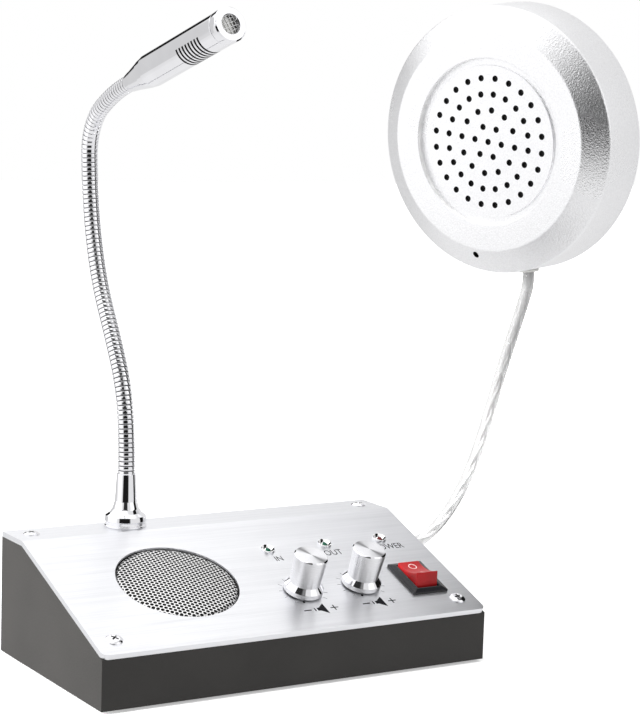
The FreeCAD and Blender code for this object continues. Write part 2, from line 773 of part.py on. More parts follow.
def loudspeaker(prefix, name, seat):
    """Basket, magnet and cone of a speaker whose flange top is at local z = 0."""
    size = "Dims.%s_" % prefix
    drop = "-(%sdepth)" % size
    basket = turned(name + "_basket_form", [
        ("0", "%s - Dims.basket_sheet" % drop),
        ("%sneck_radius + Dims.basket_sheet" % size, "%s - Dims.basket_sheet" % drop),
        ("%smouth_radius + Dims.basket_sheet" % size, "-Dims.basket_sheet"),
        ("%sflange_radius" % size, "-Dims.basket_sheet"),
        ("%sflange_radius" % size, "0"),
        ("%smouth_radius" % size, "0"),
        ("%sneck_radius" % size, drop),
        ("0", drop),
    ])
    node(name + "_basket", seat(basket))
    back = "%s - Dims.basket_sheet" % drop
    magnet = turned(name + "_magnet_form", [
        ("0", "%s - %smagnet_height" % (back, size)),
        ("%smagnet_radius" % size, "%s - %smagnet_height" % (back, size)),
        ("%smagnet_radius" % size, back),
        ("0", back),
    ])
    node(name + "_magnet", seat(magnet))
    rim = ("(%smouth_radius - (%smouth_radius - %sneck_radius) * (Dims.cone_rim_drop + Dims.cone_paper)"
           " / %sdepth - Dims.cone_gap)") % (size, size, size, size)
    cone = turned(name + "_cone_form", [
        ("0", "Dims.cone_cap_rise - Dims.cone_depth - Dims.cone_paper"),
        ("Dims.cone_cap_radius", "-Dims.cone_depth - Dims.cone_paper"),
        ("%s - Dims.cone_surround" % rim, "-Dims.cone_rim_drop - Dims.cone_paper"),
        (rim, "-Dims.cone_rim_drop - Dims.cone_paper"),
        (rim, "-Dims.cone_rim_drop"),
        ("%s - Dims.cone_surround" % rim, "-Dims.cone_rim_drop"),
        ("Dims.cone_cap_radius", "-Dims.cone_depth"),
        ("0", "Dims.cone_cap_rise - Dims.cone_depth"),
    ])
    node(name + "_cone", seat(cone))


def make_desk_speaker():
    """Perforated mesh in the face plate, the speaker behind it, and the ring that holds both up."""
    rim = "(Dims.grille_hole_radius - Dims.grille_gap)"
    top = "Dims.grille_crown"
    shoulder = "Dims.grille_shoulder"
    mesh = turned("speaker_grille", [
        ("0", "%s - Dims.grille_sheet" % top),
        dome(rim + " - Dims.grille_sheet", shoulder + " - Dims.grille_sheet", top + " - Dims.grille_sheet"),
        ("%s - Dims.grille_sheet" % rim, "%s - Dims.grille_sheet" % shoulder),
        ("%s - Dims.grille_sheet" % rim, "-Dims.grille_sheet"),
        ("Dims.grille_flange_radius", "-Dims.grille_sheet"),
        ("Dims.grille_flange_radius", "0"),
        (rim, "0"),
        (rim, shoulder),
        dome(rim, shoulder, top),
        ("0", top),
    ])

    def seat(item, rise="0"):
        return seat_on_slope(item, GRILLE_X, GRILLE_ALONG, rise)
    node("speaker_grille", seat(mesh))
    loudspeaker("speaker", "desk_speaker", lambda item: seat(item, "-Dims.grille_sheet"))
    ring = turned("retainer_ring", [
        ("Dims.speaker_mouth_radius + 2 * Dims.basket_sheet", "-Dims.retainer_thickness"),
        ("Dims.retainer_radius", "-Dims.retainer_thickness"),
        ("Dims.retainer_radius", "0"),
        ("Dims.speaker_mouth_radius + 2 * Dims.basket_sheet", "0"),
    ])
    under = "-Dims.grille_sheet - Dims.basket_sheet"
    holes = []
    nuts = []
    for index in range(SPEAKER_STUDS):
        across, along = stud_site(index)
        hole = cylinder("retainer_hole_%d" % index, "Dims.stud_radius + Dims.screw_gap",
                        "3 * Dims.retainer_thickness")
        holes.append(seat_on_slope(hole, across, along, "%s - 2 * Dims.retainer_thickness" % under))
        piece = nut("stud_nut_%d" % index, "Dims.stud_nut_radius", "Dims.stud_radius + Dims.pilot_gap",
                    "Dims.stud_nut_height")
        rise = "%s - Dims.retainer_thickness - Dims.stud_nut_height" % under
        nuts.append(seat_on_slope(piece, across, along, rise))
    node("speaker_retainer", cut("speaker_retainer", seat(ring, under), holes))
    node("speaker_retainer_nuts", group("speaker_retainer_nuts", nuts))


# ---- controls on the slope ----

def make_volume_control(index, name):
    """Potentiometer under the plate, with the shaft and the knob that turn together."""
    def seat(item, rise="0"):
        return seat_on_slope(item, column(index), "Dims.knob_along", rise)
    bore = "Dims.shaft_radius + Dims.shaft_fit"
    can = turned(name + "_pot_can", [
        ("0", "-Dims.pot_height - Dims.pot_floor"),
        ("Dims.pot_radius", "-Dims.pot_height - Dims.pot_floor"),
        ("Dims.pot_radius", "0"),
        ("Dims.bushing_radius", "0"),
        ("Dims.bushing_radius", "Dims.plate_thickness + Dims.bushing_reach"),
        (bore, "Dims.plate_thickness + Dims.bushing_reach"),
        (bore, "-Dims.pot_height"),
        ("0", "-Dims.pot_height"),
    ])
    tags = box(name + "_pot_tags", "Dims.pot_tag_width", "Dims.pot_tag_length", "Dims.pot_floor",
               y="-Dims.pot_radius - Dims.pot_tag_length / 2 + Dims.pot_floor / 2",
               z="-Dims.pot_height")
    node(name + "_volume_pot", seat(fuse(name + "_volume_pot", [can, tags])))
    shaft = cylinder(name + "_shaft", "Dims.shaft_radius",
                     "Dims.pot_height - Dims.shaft_end_gap + Dims.plate_thickness + Dims.shaft_reach")
    node(name + "_volume_shaft", seat(shaft, "-Dims.pot_height + Dims.shaft_end_gap"))
    knob_bore = "Dims.shaft_radius + Dims.knob_bore_gap"
    bore_end = "Dims.shaft_reach - Dims.knob_lift + Dims.knob_bore_gap"
    knob = turned(name + "_knob", [
        ("Dims.knob_cavity_radius", "0"),
        ("Dims.knob_collar_radius", "0"),
        ("Dims.knob_collar_radius", "Dims.knob_collar_height"),
        ("Dims.knob_waist_radius", "Dims.knob_waist_height"),
        ("Dims.knob_crown_radius", "Dims.knob_height - Dims.knob_edge"),
        ("Dims.knob_crown_radius - Dims.knob_edge", "Dims.knob_height"),
        ("0", "Dims.knob_height"),
        ("0", bore_end),
        (knob_bore, bore_end),
        (knob_bore, "Dims.knob_cavity_height"),
        ("Dims.knob_cavity_radius", "Dims.knob_cavity_height"),
    ])
    node(name + "_volume_knob", seat(knob, "Dims.plate_thickness + Dims.knob_lift"))
    ring = nut(name + "_bushing_nut", "Dims.bushing_nut_radius", "Dims.bushing_radius + Dims.pilot_gap",
               "Dims.bushing_nut_height")
    return seat(ring, "Dims.plate_thickness")


def make_lamps():
    """Three conical bezels with an indicator lamp in each."""
    bezels = []
    for index, name in enumerate(COLUMNS):
        def seat(item):
            return seat_on_slope(item, column(index), "Dims.led_along", "Dims.plate_thickness")
        bore = "Dims.led_radius + Dims.led_gap"
        bezels.append(seat(turned("bezel_" + name, [
            (bore, "-Dims.bezel_length"),
            ("Dims.bezel_barrel_radius", "-Dims.bezel_length"),
            ("Dims.bezel_barrel_radius", "0"),
            ("Dims.bezel_flange_radius", "0"),
            ("Dims.bezel_flange_radius - Dims.bezel_lip", "Dims.bezel_height"),
            ("Dims.bezel_flange_radius - 2 * Dims.bezel_lip", "Dims.bezel_height"),
            (bore, "-Dims.bezel_seat_depth"),
        ])))
        lamp = turned("lamp_" + name, [
            ("0", "-Dims.led_length"),
            ("Dims.led_radius", "-Dims.led_length"),
            ("Dims.led_radius", "-Dims.led_shoulder"),
            ("arc", "Dims.led_radius * cos(45)", "Dims.led_radius * sin(45) - Dims.led_shoulder"),
            ("0", "Dims.led_radius - Dims.led_shoulder"),
        ])
        node(name + "_lamp", seat(lamp))
    node("lamp_bezels", group("lamp_bezels", bezels))


def make_power_switch():
    """Snap-in rocker switch: frame with its bezel, rocker on two stub axles, and its tabs."""
    def seat(item, rise="Dims.plate_thickness"):
        return seat_on_slope(item, column(2), "Dims.switch_along", rise)
    bezel = doc.addObject("Part::Wedge", "switch_bezel")
    half_width = "Dims.switch_bezel_width / 2"
    half_length = "Dims.switch_bezel_length / 2"
    chamfer = "Dims.switch_bezel_chamfer"
    for limit, expression in (
        ("Xmin", "-" + half_width), ("Xmax", half_width), ("Zmin", "-" + half_length), ("Zmax", half_length),
        ("X2min", "-%s + %s" % (half_width, chamfer)), ("X2max", "%s - %s" % (half_width, chamfer)),
        ("Z2min", "-%s + %s" % (half_length, chamfer)), ("Z2max", "%s - %s" % (half_length, chamfer)),
        ("Ymin", "0"), ("Ymax", "Dims.switch_bezel_height"),
    ):
        bezel.setExpression(limit, expression)
    place(bezel, axis=(1, 0, 0), angle="90")
    body = box("switch_body", "Dims.switch_body_width", "Dims.switch_body_length", "Dims.switch_body_depth",
               z="-Dims.switch_body_depth")
    slot = box("switch_slot", "Dims.rocker_width + 2 * Dims.rocker_side_gap", "2 * Dims.rocker_slot_half",
               "Dims.rocker_slot_depth + 2 * Dims.switch_bezel_height", z="-Dims.rocker_slot_depth")
    reach = "Dims.rocker_width / 2 + Dims.rocker_axle_reach"
    bore = cylinder("switch_axle_bore", "Dims.rocker_axle_radius + Dims.shaft_fit",
                    "2 * (%s + Dims.rocker_side_gap)" % reach, "-(%s) - Dims.rocker_side_gap" % reach, "0",
                    "-Dims.rocker_pivot_depth", (0, 1, 0), "90")
    frame = cut("power_switch_frame", fuse("switch_solid", [bezel, body]), [slot, bore])
    node("power_switch_frame", seat(frame))
    paddle = extruded("rocker_paddle", "YZ_Plane", [
        ("-Dims.rocker_end_half", "Dims.rocker_end_height"),
        ("-Dims.rocker_belly_half", "0"),
        ("-Dims.rocker_end_half", "-Dims.rocker_belly_drop"),
        ("0", "-Dims.rocker_keel_drop"),
        ("Dims.rocker_end_half", "-Dims.rocker_belly_drop"),
        ("Dims.rocker_belly_half", "0"),
        ("Dims.rocker_end_half", "Dims.rocker_end_height"),
        ("arc", "0", "Dims.rocker_dip_height"),
    ], "Dims.rocker_width")
    axle = cylinder("rocker_axle", "Dims.rocker_axle_radius", "2 * (%s)" % reach, "-(%s)" % reach, "0", "0",
                    (0, 1, 0), "90")
    rocker = fuse("rocker_in_middle", [paddle, axle])
    place(rocker, axis=(1, 0, 0), angle="-Dims.rocker_rest_tilt")
    at_rest = group("power_switch_rocker", [rocker])
    node("power_switch_rocker", seat(at_rest, "Dims.plate_thickness - Dims.rocker_pivot_depth"))
    tabs = []
    for index in (-1, 1):
        tab = box("switch_tab_%d" % (index + 1), "Dims.tab_width", "Dims.tab_thickness", "Dims.tab_length",
                  y="%d * Dims.tab_pitch / 2" % index, z="-Dims.switch_body_depth - Dims.tab_length")
        tabs.append(tab)
    node("power_switch_tabs", seat(group("power_switch_tabs", tabs)))


# ---- inside the desk unit ----

def make_board():
    """Amplifier board on four standoffs over the base plate."""
    top_of_standoff = "(%s + Dims.standoff_height)" % FLOOR_Z
    top_of_board = "(%s + Dims.board_thickness)" % top_of_standoff
    blank = box("board_blank", "Dims.board_width", "Dims.board_depth", "Dims.board_thickness",
                BOARD_X, "Dims.board_middle", top_of_standoff)
    holes = []
    standoffs = []
    screws = []
    for name, side, front in corner_sites():
        reach_x = "(Dims.board_width / 2 - Dims.board_hole_inset)"
        reach_y = "(Dims.board_depth / 2 - Dims.board_hole_inset)"
        x = "%s + %d * %s" % (BOARD_X, side, reach_x)
        y = "Dims.board_middle + %d * %s" % (-1 if front else 1, reach_y)
        holes.append(cylinder("board_hole_" + name, "Dims.board_screw_radius + Dims.screw_gap",
                              "Dims.board_thickness", x, y, top_of_standoff))
        post = cylinder("standoff_post_" + name, "Dims.standoff_radius", "Dims.standoff_height", x, y, FLOOR_Z)
        bore = cylinder("standoff_bore_" + name, "Dims.board_screw_radius + Dims.pilot_gap",
                        "Dims.standoff_height", x, y, FLOOR_Z)
        standoffs.append(cut("standoff_" + name, post, [bore]))
        bolt = screw("board_screw_" + name, "Dims.board_screw_head_radius", "Dims.board_screw_head_height",
                     "Dims.board_screw_radius", "Dims.board_thickness + Dims.standoff_height / 2")
        screws.append(place(bolt, x, y, top_of_board))
    node("amplifier_board", cut("amplifier_board", blank, holes))
    node("board_standoffs", group("board_standoffs", standoffs))
    node("board_screws", group("board_screws", screws))
    parts = []
    for index in range(3):
        parts.append(cylinder(
            "capacitor_%d" % index, "Dims.capacitor_radius", "Dims.capacitor_height",
            "Dims.capacitor_first + %d * Dims.capacitor_pitch" % index, "Dims.components_middle", top_of_board))
    parts.append(box("amplifier_chip", "Dims.chip_width", "Dims.chip_depth", "Dims.chip_height",
                     "Dims.capacitor_first - Dims.capacitor_pitch - Dims.chip_width / 2",
                     "Dims.components_middle", top_of_board))
    node("board_components", group("board_components", parts))


def make_rear_sockets():
    """Low-voltage inlet and the outer unit's socket in the rear wall, with their nuts."""
    def seat(item, across, sink="0"):
        return place(item, across, "%s - (%s)" % (BACK_Y, sink), "Dims.socket_height", (1, 0, 0), "-90")
    inlet = turned("dc_inlet", [
        ("0", "-Dims.dc_barrel_length"),
        ("Dims.dc_barrel_radius", "-Dims.dc_barrel_length"),
        ("Dims.dc_barrel_radius", "0"),
        ("Dims.dc_flange_radius", "0"),
        ("Dims.dc_flange_radius", "Dims.dc_flange_height"),
        ("Dims.dc_bore_radius", "Dims.dc_flange_height"),
        ("Dims.dc_bore_radius", "-Dims.dc_bore_depth"),
        ("Dims.dc_pin_radius", "-Dims.dc_bore_depth"),
        ("Dims.dc_pin_radius", "0"),
        ("0", "0"),
    ])
    node("dc_inlet", seat(inlet, DC_X))
    jack = turned("outer_unit_socket", [
        ("0", "-Dims.link_barrel_length"),
        ("Dims.link_barrel_radius", "-Dims.link_barrel_length"),
        ("Dims.link_barrel_radius", "0"),
        ("Dims.link_flange_radius", "0"),
        ("Dims.link_flange_radius", "Dims.link_flange_height"),
        ("Dims.link_bore_radius", "Dims.link_flange_height"),
        ("Dims.link_bore_radius", "-Dims.link_bore_depth"),
        ("0", "-Dims.link_bore_depth"),
    ])
    node("outer_unit_socket", seat(jack, LINK_X))
    nuts = []
    for name, across in (("dc", DC_X), ("link", LINK_X)):
        ring = nut(name + "_nut", "Dims.socket_nut_radius", "Dims.%s_barrel_radius + Dims.pilot_gap" % name,
                   "Dims.socket_nut_height")
        nuts.append(seat(ring, across, "Dims.casing_wall + Dims.socket_nut_height"))
    node("socket_nuts", group("socket_nuts", nuts))


# ---- gooseneck and microphone ----

def make_ferrule():
    """Chrome bell that carries the gooseneck, screwed to the face plate from below."""
    socket = "Dims.neck_radius + Dims.neck_fit"
    socket_floor = "Dims.ferrule_height - Dims.ferrule_socket_depth"
    bell = turned("gooseneck_ferrule", [
        ("Dims.wire_bore_radius", "-Dims.ferrule_stem_length"),
        ("Dims.ferrule_stem_radius", "-Dims.ferrule_stem_length"),
        ("Dims.ferrule_stem_radius", "0"),
        ("Dims.ferrule_radius", "0"),
        ("Dims.ferrule_radius", "Dims.ferrule_rim"),
        ("arc", "Dims.ferrule_flare_radius", "Dims.ferrule_flare_height"),
        ("Dims.ferrule_waist_radius", "Dims.ferrule_waist_height"),
        ("Dims.ferrule_mouth_radius", "Dims.ferrule_height"),
        (socket, "Dims.ferrule_height"),
        (socket, socket_floor),
        ("Dims.wire_bore_radius", socket_floor),
    ])
    node("gooseneck_ferrule", place(bell, GRILLE_X, BAND_MIDDLE_Y, PLATE_TOP_Z))
    ring = nut("gooseneck_nut", "Dims.ferrule_nut_radius", "Dims.ferrule_stem_radius + Dims.pilot_gap",
               "Dims.ferrule_nut_height")
    below = "%s - Dims.ferrule_nut_height" % BAND_Z
    node("gooseneck_nut", place(ring, GRILLE_X, BAND_MIDDLE_Y, below))


def neck_stations():
    """The gooseneck's hinge points and headings in its own upright plane, from the ferrule up.

    Each station is (distance back, height, heading from the vertical in degrees).
    """
    back = 0.0
    height = value("Dims.ferrule_height - Dims.neck_sink")
    heading = 0.0
    length = value("Dims.neck_length")
    stations = [(back, height, heading)]
    for letter in NECK_BENDS:
        bend = value("Dims.neck_bend_" + letter)
        middle = math.radians(heading + bend / 2)
        half = math.radians(bend / 2)
        chord = length * math.sin(half) / half if half else length
        back += chord * math.sin(middle)
        height += chord * math.cos(middle)
        heading += bend
        stations.append((back, height, heading))
    return stations


def upright(back, height):
    """A point of the gooseneck's plane, before it is turned and set on the face plate."""
    return FreeCAD.Vector(0, back, height)


def pointing(heading):
    """The direction that leans back from the vertical by a heading in degrees."""
    return FreeCAD.Vector(0, math.sin(math.radians(heading)), math.cos(math.radians(heading)))


def neck_link(start, end, first, last):
    """One bent length of gooseneck: hollowed for the ball below it, with a ball at its upper end."""
    radius = value("Dims.neck_radius")
    foot = upright(start[0], start[1])
    head = upright(end[0], end[1])
    chord = head - foot
    bend = math.radians(end[2] - start[2])
    sag = chord.Length / 2 * math.tan(bend / 4)
    side = FreeCAD.Vector(0, -chord.z, chord.y).normalize()
    middle = foot + chord * 0.5 + side * sag
    path = Part.Wire([Part.Arc(foot, middle, head).toShape()])
    ring = Part.Wire([Part.Circle(foot, pointing(start[2]), radius).toShape()])
    tube = path.makePipeShell([ring], True, False)
    if first:
        tail = value("Dims.neck_tail")
        tube = tube.fuse(Part.makeCylinder(radius, tail, foot - pointing(start[2]) * tail, pointing(start[2])))
    else:
        tube = tube.cut(Part.makeSphere(radius + value("Dims.neck_ball_gap"), foot))
    if last:
        reach = value("Dims.mic_socket_depth - Dims.mic_seat_gap")
        return tube.fuse(Part.makeCylinder(radius, reach, head, pointing(end[2])))
    return tube.fuse(Part.makeSphere(radius, head))


def make_gooseneck():
    """Eight lengths of gooseneck that turn on each other, each a node of its own."""
    stations = neck_stations()
    count = len(NECK_BENDS)
    for index in range(count):
        link = doc.addObject("Part::Feature", "gooseneck_%d" % (index + 1))
        link.Shape = neck_link(stations[index], stations[index + 1], index == 0, index == count - 1)
        place(link, GRILLE_X, BAND_MIDDLE_Y, PLATE_TOP_Z, (0, 0, 1), "Dims.neck_heading")
        node("gooseneck_%d" % (index + 1), link)


def seat_on_neck(item):
    """Put a piece of the microphone head, made along its own Z, on the gooseneck's upper end."""
    back, height, heading = neck_stations()[-1]
    turn = FreeCAD.Rotation(FreeCAD.Vector(0, 0, 1), value("Dims.neck_heading"))
    offset = turn.multVec(upright(back, height))
    base = FreeCAD.Vector(value(GRILLE_X), value(BAND_MIDDLE_Y), value(PLATE_TOP_Z)) + offset
    lean = FreeCAD.Rotation(FreeCAD.Vector(1, 0, 0), -heading)
    item.Placement = FreeCAD.Placement(base, turn.multiply(lean))
    return item


def make_microphone():
    """Tapered chrome body with eight grooves on its underside, front ring, mesh and capsule."""
    ring_start = "(Dims.mic_length - Dims.mic_ring_length)"
    mesh_top = "(Dims.mic_length - Dims.mic_face_thickness)"
    tube = turned("mic_tube", [
        ("Dims.neck_radius + Dims.neck_fit", "0"),
        ("Dims.mic_tail_radius", "0"),
        ("Dims.mic_throat_radius", "Dims.mic_throat_along"),
        ("Dims.mic_shoulder_radius", "Dims.mic_shoulder_along"),
        ("Dims.mic_barrel_radius", "Dims.mic_barrel_along"),
        ("Dims.mic_barrel_radius", ring_start),
        ("Dims.mic_bore_radius", ring_start),
        ("Dims.mic_bore_radius", "Dims.mic_bore_along"),
        ("Dims.wire_bore_radius", "Dims.mic_bore_along - Dims.mic_socket_depth"),
        ("Dims.wire_bore_radius", "Dims.mic_socket_depth"),
        ("Dims.neck_radius + Dims.neck_fit", "Dims.mic_socket_depth"),
    ])
    grooves = []
    for index in range(MIC_GROOVES):
        along = "Dims.mic_groove_first + %d * Dims.mic_groove_pitch" % index
        sector = cylinder("groove_sector_%d" % index, "Dims.mic_barrel_radius + Dims.mic_groove_depth",
                          "Dims.mic_groove_width", z=along, angle="Dims.mic_groove_turn")
        sector.setExpression("Angle", "Dims.mic_groove_span")
        core = cylinder("groove_core_%d" % index, "Dims.mic_barrel_radius - Dims.mic_groove_depth",
                        "Dims.mic_groove_width", z=along)
        grooves.append(cut("groove_%d" % index, sector, [core]))
    node("mic_body", seat_on_neck(cut("mic_body", tube, grooves)))
    ring = turned("mic_front_ring", [
        ("Dims.mic_bore_radius", ring_start),
        ("Dims.mic_ring_radius", ring_start),
        ("Dims.mic_ring_radius", "Dims.mic_length - Dims.mic_ring_edge"),
        ("Dims.mic_ring_radius - Dims.mic_ring_edge", "Dims.mic_length"),
        ("Dims.mic_face_opening", "Dims.mic_length"),
        ("Dims.mic_face_opening", mesh_top),
        ("Dims.mic_bore_radius", mesh_top),
    ])
    node("mic_front_ring", seat_on_neck(ring))
    mesh = cylinder("mesh_disc", "Dims.mic_bore_radius - Dims.mic_seat_gap", "Dims.mic_mesh_thickness",
                    z="%s - Dims.mic_mesh_thickness" % mesh_top)
    node("mic_mesh", seat_on_neck(group("mic_mesh", [mesh])))
    capsule_top = "%s - Dims.mic_mesh_thickness - Dims.mic_seat_gap" % mesh_top
    capsule = cylinder("capsule_can", "Dims.mic_bore_radius - Dims.mic_seat_gap", "Dims.mic_capsule_length",
                       z="%s - Dims.mic_capsule_length" % capsule_top)
    node("mic_capsule", seat_on_neck(group("mic_capsule", [capsule])))


# ---- outer unit ----

INNER_FRONT = "(Dims.outer_crown - Dims.outer_front_thickness)"


def make_outer_shell():
    """Spun aluminium cup with a bevelled front, screw posts and a cup for its microphone."""
    cup = turned("outer_cup", [
        ("Dims.outer_opening_radius", "Dims.outer_crown"),
        ("Dims.outer_crown_radius", "Dims.outer_crown"),
        ("Dims.outer_rim_radius", "0"),
        ("Dims.outer_rear_radius", "-Dims.outer_rear_depth"),
        ("Dims.outer_rear_radius - Dims.outer_wall", "-Dims.outer_rear_depth"),
        ("Dims.outer_rim_radius - Dims.outer_wall", "-Dims.outer_wall / 2"),
        ("Dims.outer_crown_radius - Dims.outer_wall / 3", INNER_FRONT),
        ("Dims.outer_opening_radius", INNER_FRONT),
    ])
    post_foot = "(Dims.outer_plate_thickness - Dims.outer_rear_depth)"
    solids = [cup]
    holes = []
    for index, angle in enumerate(OUTER_POST_ANGLES):
        x = "Dims.outer_post_circle * cos(%g)" % angle
        y = "Dims.outer_post_circle * sin(%g)" % angle
        solids.append(cylinder("outer_post_%d" % index, "Dims.outer_post_radius",
                               "%s - %s" % (INNER_FRONT, post_foot),
                               x, y, post_foot))
        holes.append(cylinder("outer_pilot_%d" % index, "Dims.outer_screw_radius + Dims.pilot_gap",
                              "Dims.outer_screw_length", x, y, post_foot))
    mic_y = "-Dims.outer_mic_circle"
    solids.append(cylinder("outer_mic_cup", "Dims.outer_mic_cup_radius",
                           "Dims.outer_mic_cup_depth + Dims.outer_front_thickness / 2",
                           y=mic_y, z="-Dims.outer_mic_cup_depth"))
    holes.append(cylinder("outer_mic_bore", "Dims.outer_mic_radius + Dims.pilot_gap",
                          "Dims.outer_mic_cup_depth + Dims.outer_mic_floor",
                          y=mic_y, z="-Dims.outer_mic_cup_depth"))
    holes.append(cylinder("outer_mic_hole", "Dims.outer_mic_hole_radius", "2 * Dims.outer_crown",
                          y=mic_y, z="-Dims.outer_mic_floor"))
    holes.append(grommet_cylinder("grommet_hole", "Dims.grommet_waist_radius + Dims.pilot_gap",
                                  "Dims.outer_rear_radius - 3 * Dims.outer_wall", "6 * Dims.outer_wall"))
    shell = cut("outer_shell", fuse("outer_solid", solids), holes)
    node("outer_shell", seat_on_outer(shell))


def grommet_direction():
    """Unit direction in which the cable leaves the outer unit, as expressions along local X and Y."""
    return "sin(Dims.grommet_turn)", "-cos(Dims.grommet_turn)"


def grommet_cylinder(name, radius, start, length):
    """A cylinder along the cable's way out of the outer unit, from a distance off its axis."""
    out_x, out_y = grommet_direction()
    item = cylinder(name, radius, length)
    turn = FreeCAD.Rotation(FreeCAD.Vector(0, 0, 1), value("Dims.grommet_turn"))
    turn = turn.multiply(FreeCAD.Rotation(FreeCAD.Vector(1, 0, 0), 90))
    item.Placement = FreeCAD.Placement(FreeCAD.Vector(), turn)
    item.setExpression(".Placement.Base.x", "(%s) * %s" % (start, out_x))
    item.setExpression(".Placement.Base.y", "(%s) * %s" % (start, out_y))
    item.setExpression(".Placement.Base.z", "-Dims.grommet_depth")
    return item


def make_grommet():
    """Rubber grommet in the side wall, through which the cable leaves the outer unit."""
    lean = "(Dims.outer_rear_radius - Dims.outer_rim_radius) / Dims.outer_rear_depth"
    face = "(Dims.outer_rim_radius + %s * (Dims.grommet_depth + Dims.grommet_flange_radius))" % lean
    root = "(Dims.outer_rear_radius - Dims.outer_wall + Dims.panel_gap)"
    flange = "Dims.grommet_flange_thickness"
    outer = grommet_cylinder("grommet_outer", "Dims.grommet_flange_radius", face, flange)
    waist = grommet_cylinder("grommet_waist", "Dims.grommet_waist_radius", root,
                             "%s - %s + %s" % (face, root, flange))
    bore = grommet_cylinder("grommet_bore", "Dims.cable_radius + Dims.cable_gap", root,
                            "%s - %s + %s" % (face, root, flange))
    grommet = cut("outer_cable_grommet", fuse("grommet_solid", [outer, waist]), [bore])
    node("outer_cable_grommet", seat_on_outer(grommet))


def make_grille_disc():
    """Stepped disc in the front opening, with rings of round holes about a centre hole."""
    body = turned("outer_grille_disc", [
        ("0", "%s - Dims.disc_flange_thickness" % INNER_FRONT),
        ("Dims.disc_flange_radius", "%s - Dims.disc_flange_thickness" % INNER_FRONT),
        ("Dims.disc_flange_radius", INNER_FRONT),
        ("Dims.disc_radius", INNER_FRONT),
        ("Dims.disc_radius", "%s + Dims.disc_rise" % INNER_FRONT),
        ("0", "%s + Dims.disc_rise" % INNER_FRONT),
    ])
    punch_holes(body, "centre_hole", "0", 1)
    for ring, count in enumerate(DISC_HOLE_COUNTS, start=1):
        punch_holes(body, "ring_%d_hole" % ring, "-%d * Dims.disc_ring_pitch" % ring, count)
    node("outer_grille_disc", seat_on_outer(body))


def punch_holes(body, name, across, count):
    """A round hole through the disc, repeated about its axis."""
    sketch = body.newObject("Sketcher::SketchObject", name)
    plane = [feature for feature in body.Origin.OriginFeatures if feature.Role == "XY_Plane"][0]
    sketch.AttachmentSupport = [(plane, "")]
    sketch.MapMode = "FlatFace"
    middle = FreeCAD.Vector(value(across), 0, 0)
    circle = sketch.addGeometry(Part.Circle(middle, FreeCAD.Vector(0, 0, 1), value("Dims.disc_hole_radius")))
    bind_point(sketch, circle, 3, (across, "0"))
    radius = sketch.addConstraint(Sketcher.Constraint("Radius", circle, value("Dims.disc_hole_radius")))
    sketch.setExpression("Constraints[%d]" % radius, "Dims.disc_hole_radius")
    pocket = body.newObject("PartDesign::Pocket", name + "_pocket")
    pocket.Profile = sketch
    pocket.SideType = "Symmetric"
    pocket.setExpression("Length", "4 * Dims.outer_crown")
    body.Tip = pocket
    if count == 1:
        return
    pattern = body.newObject("PartDesign::PolarPattern", name + "_pattern")
    pattern.Originals = [pocket]
    axis = [feature for feature in body.Origin.OriginFeatures if feature.Role == "Z_Axis"][0]
    pattern.Axis = (axis, [""])
    pattern.Angle = 360
    pattern.Occurrences = count
    body.Tip = pattern


def make_outer_inside():
    """Speaker and microphone inside the outer unit, its rear plate with screws and its foam ring."""
    def seat_speaker(item):
        holder = group(item.Name + "_in_outer", [item])
        item.setExpression(".Placement.Base.z", "%s - Dims.disc_flange_thickness" % INNER_FRONT)
        return seat_on_outer(holder)
    loudspeaker("horn", "outer_speaker", seat_speaker)
    capsule = cylinder("outer_capsule", "Dims.outer_mic_radius", "Dims.outer_mic_length",
                       y="-Dims.outer_mic_circle", z="-Dims.outer_mic_length")
    node("outer_mic_capsule", seat_on_outer(group("outer_mic_capsule", [capsule])))
    rear = "-Dims.outer_rear_depth"
    plate = cylinder("outer_plate_blank", "Dims.outer_rear_radius - Dims.outer_wall - Dims.outer_plate_gap",
                     "Dims.outer_plate_thickness", z=rear)
    holes = []
    screws = []
    for index, angle in enumerate(OUTER_POST_ANGLES):
        x = "Dims.outer_post_circle * cos(%g)" % angle
        y = "Dims.outer_post_circle * sin(%g)" % angle
        holes.append(cylinder("outer_plate_hole_%d" % index, "Dims.outer_screw_radius + Dims.screw_gap",
                              "Dims.outer_plate_thickness", x, y, rear))
        bolt = screw("outer_screw_%d" % index, "Dims.outer_screw_head_radius", "Dims.outer_screw_head_height",
                     "Dims.outer_screw_radius", "Dims.outer_screw_length")
        screws.append(place(bolt, x, y, rear, (1, 0, 0), "180"))
    node("outer_rear_plate", seat_on_outer(cut("outer_rear_plate", plate, holes)))
    node("outer_rear_screws", seat_on_outer(group("outer_rear_screws", screws)))
    foam = turned("outer_foam_ring", [
        ("Dims.outer_foam_inner", "%s - Dims.outer_foam_thickness" % rear),
        ("Dims.outer_foam_outer", "%s - Dims.outer_foam_thickness" % rear),
        ("Dims.outer_foam_outer", rear),
        ("Dims.outer_foam_inner", rear),
    ])
    node("outer_foam_ring", seat_on_outer(foam))


# ---- cable of the outer unit ----

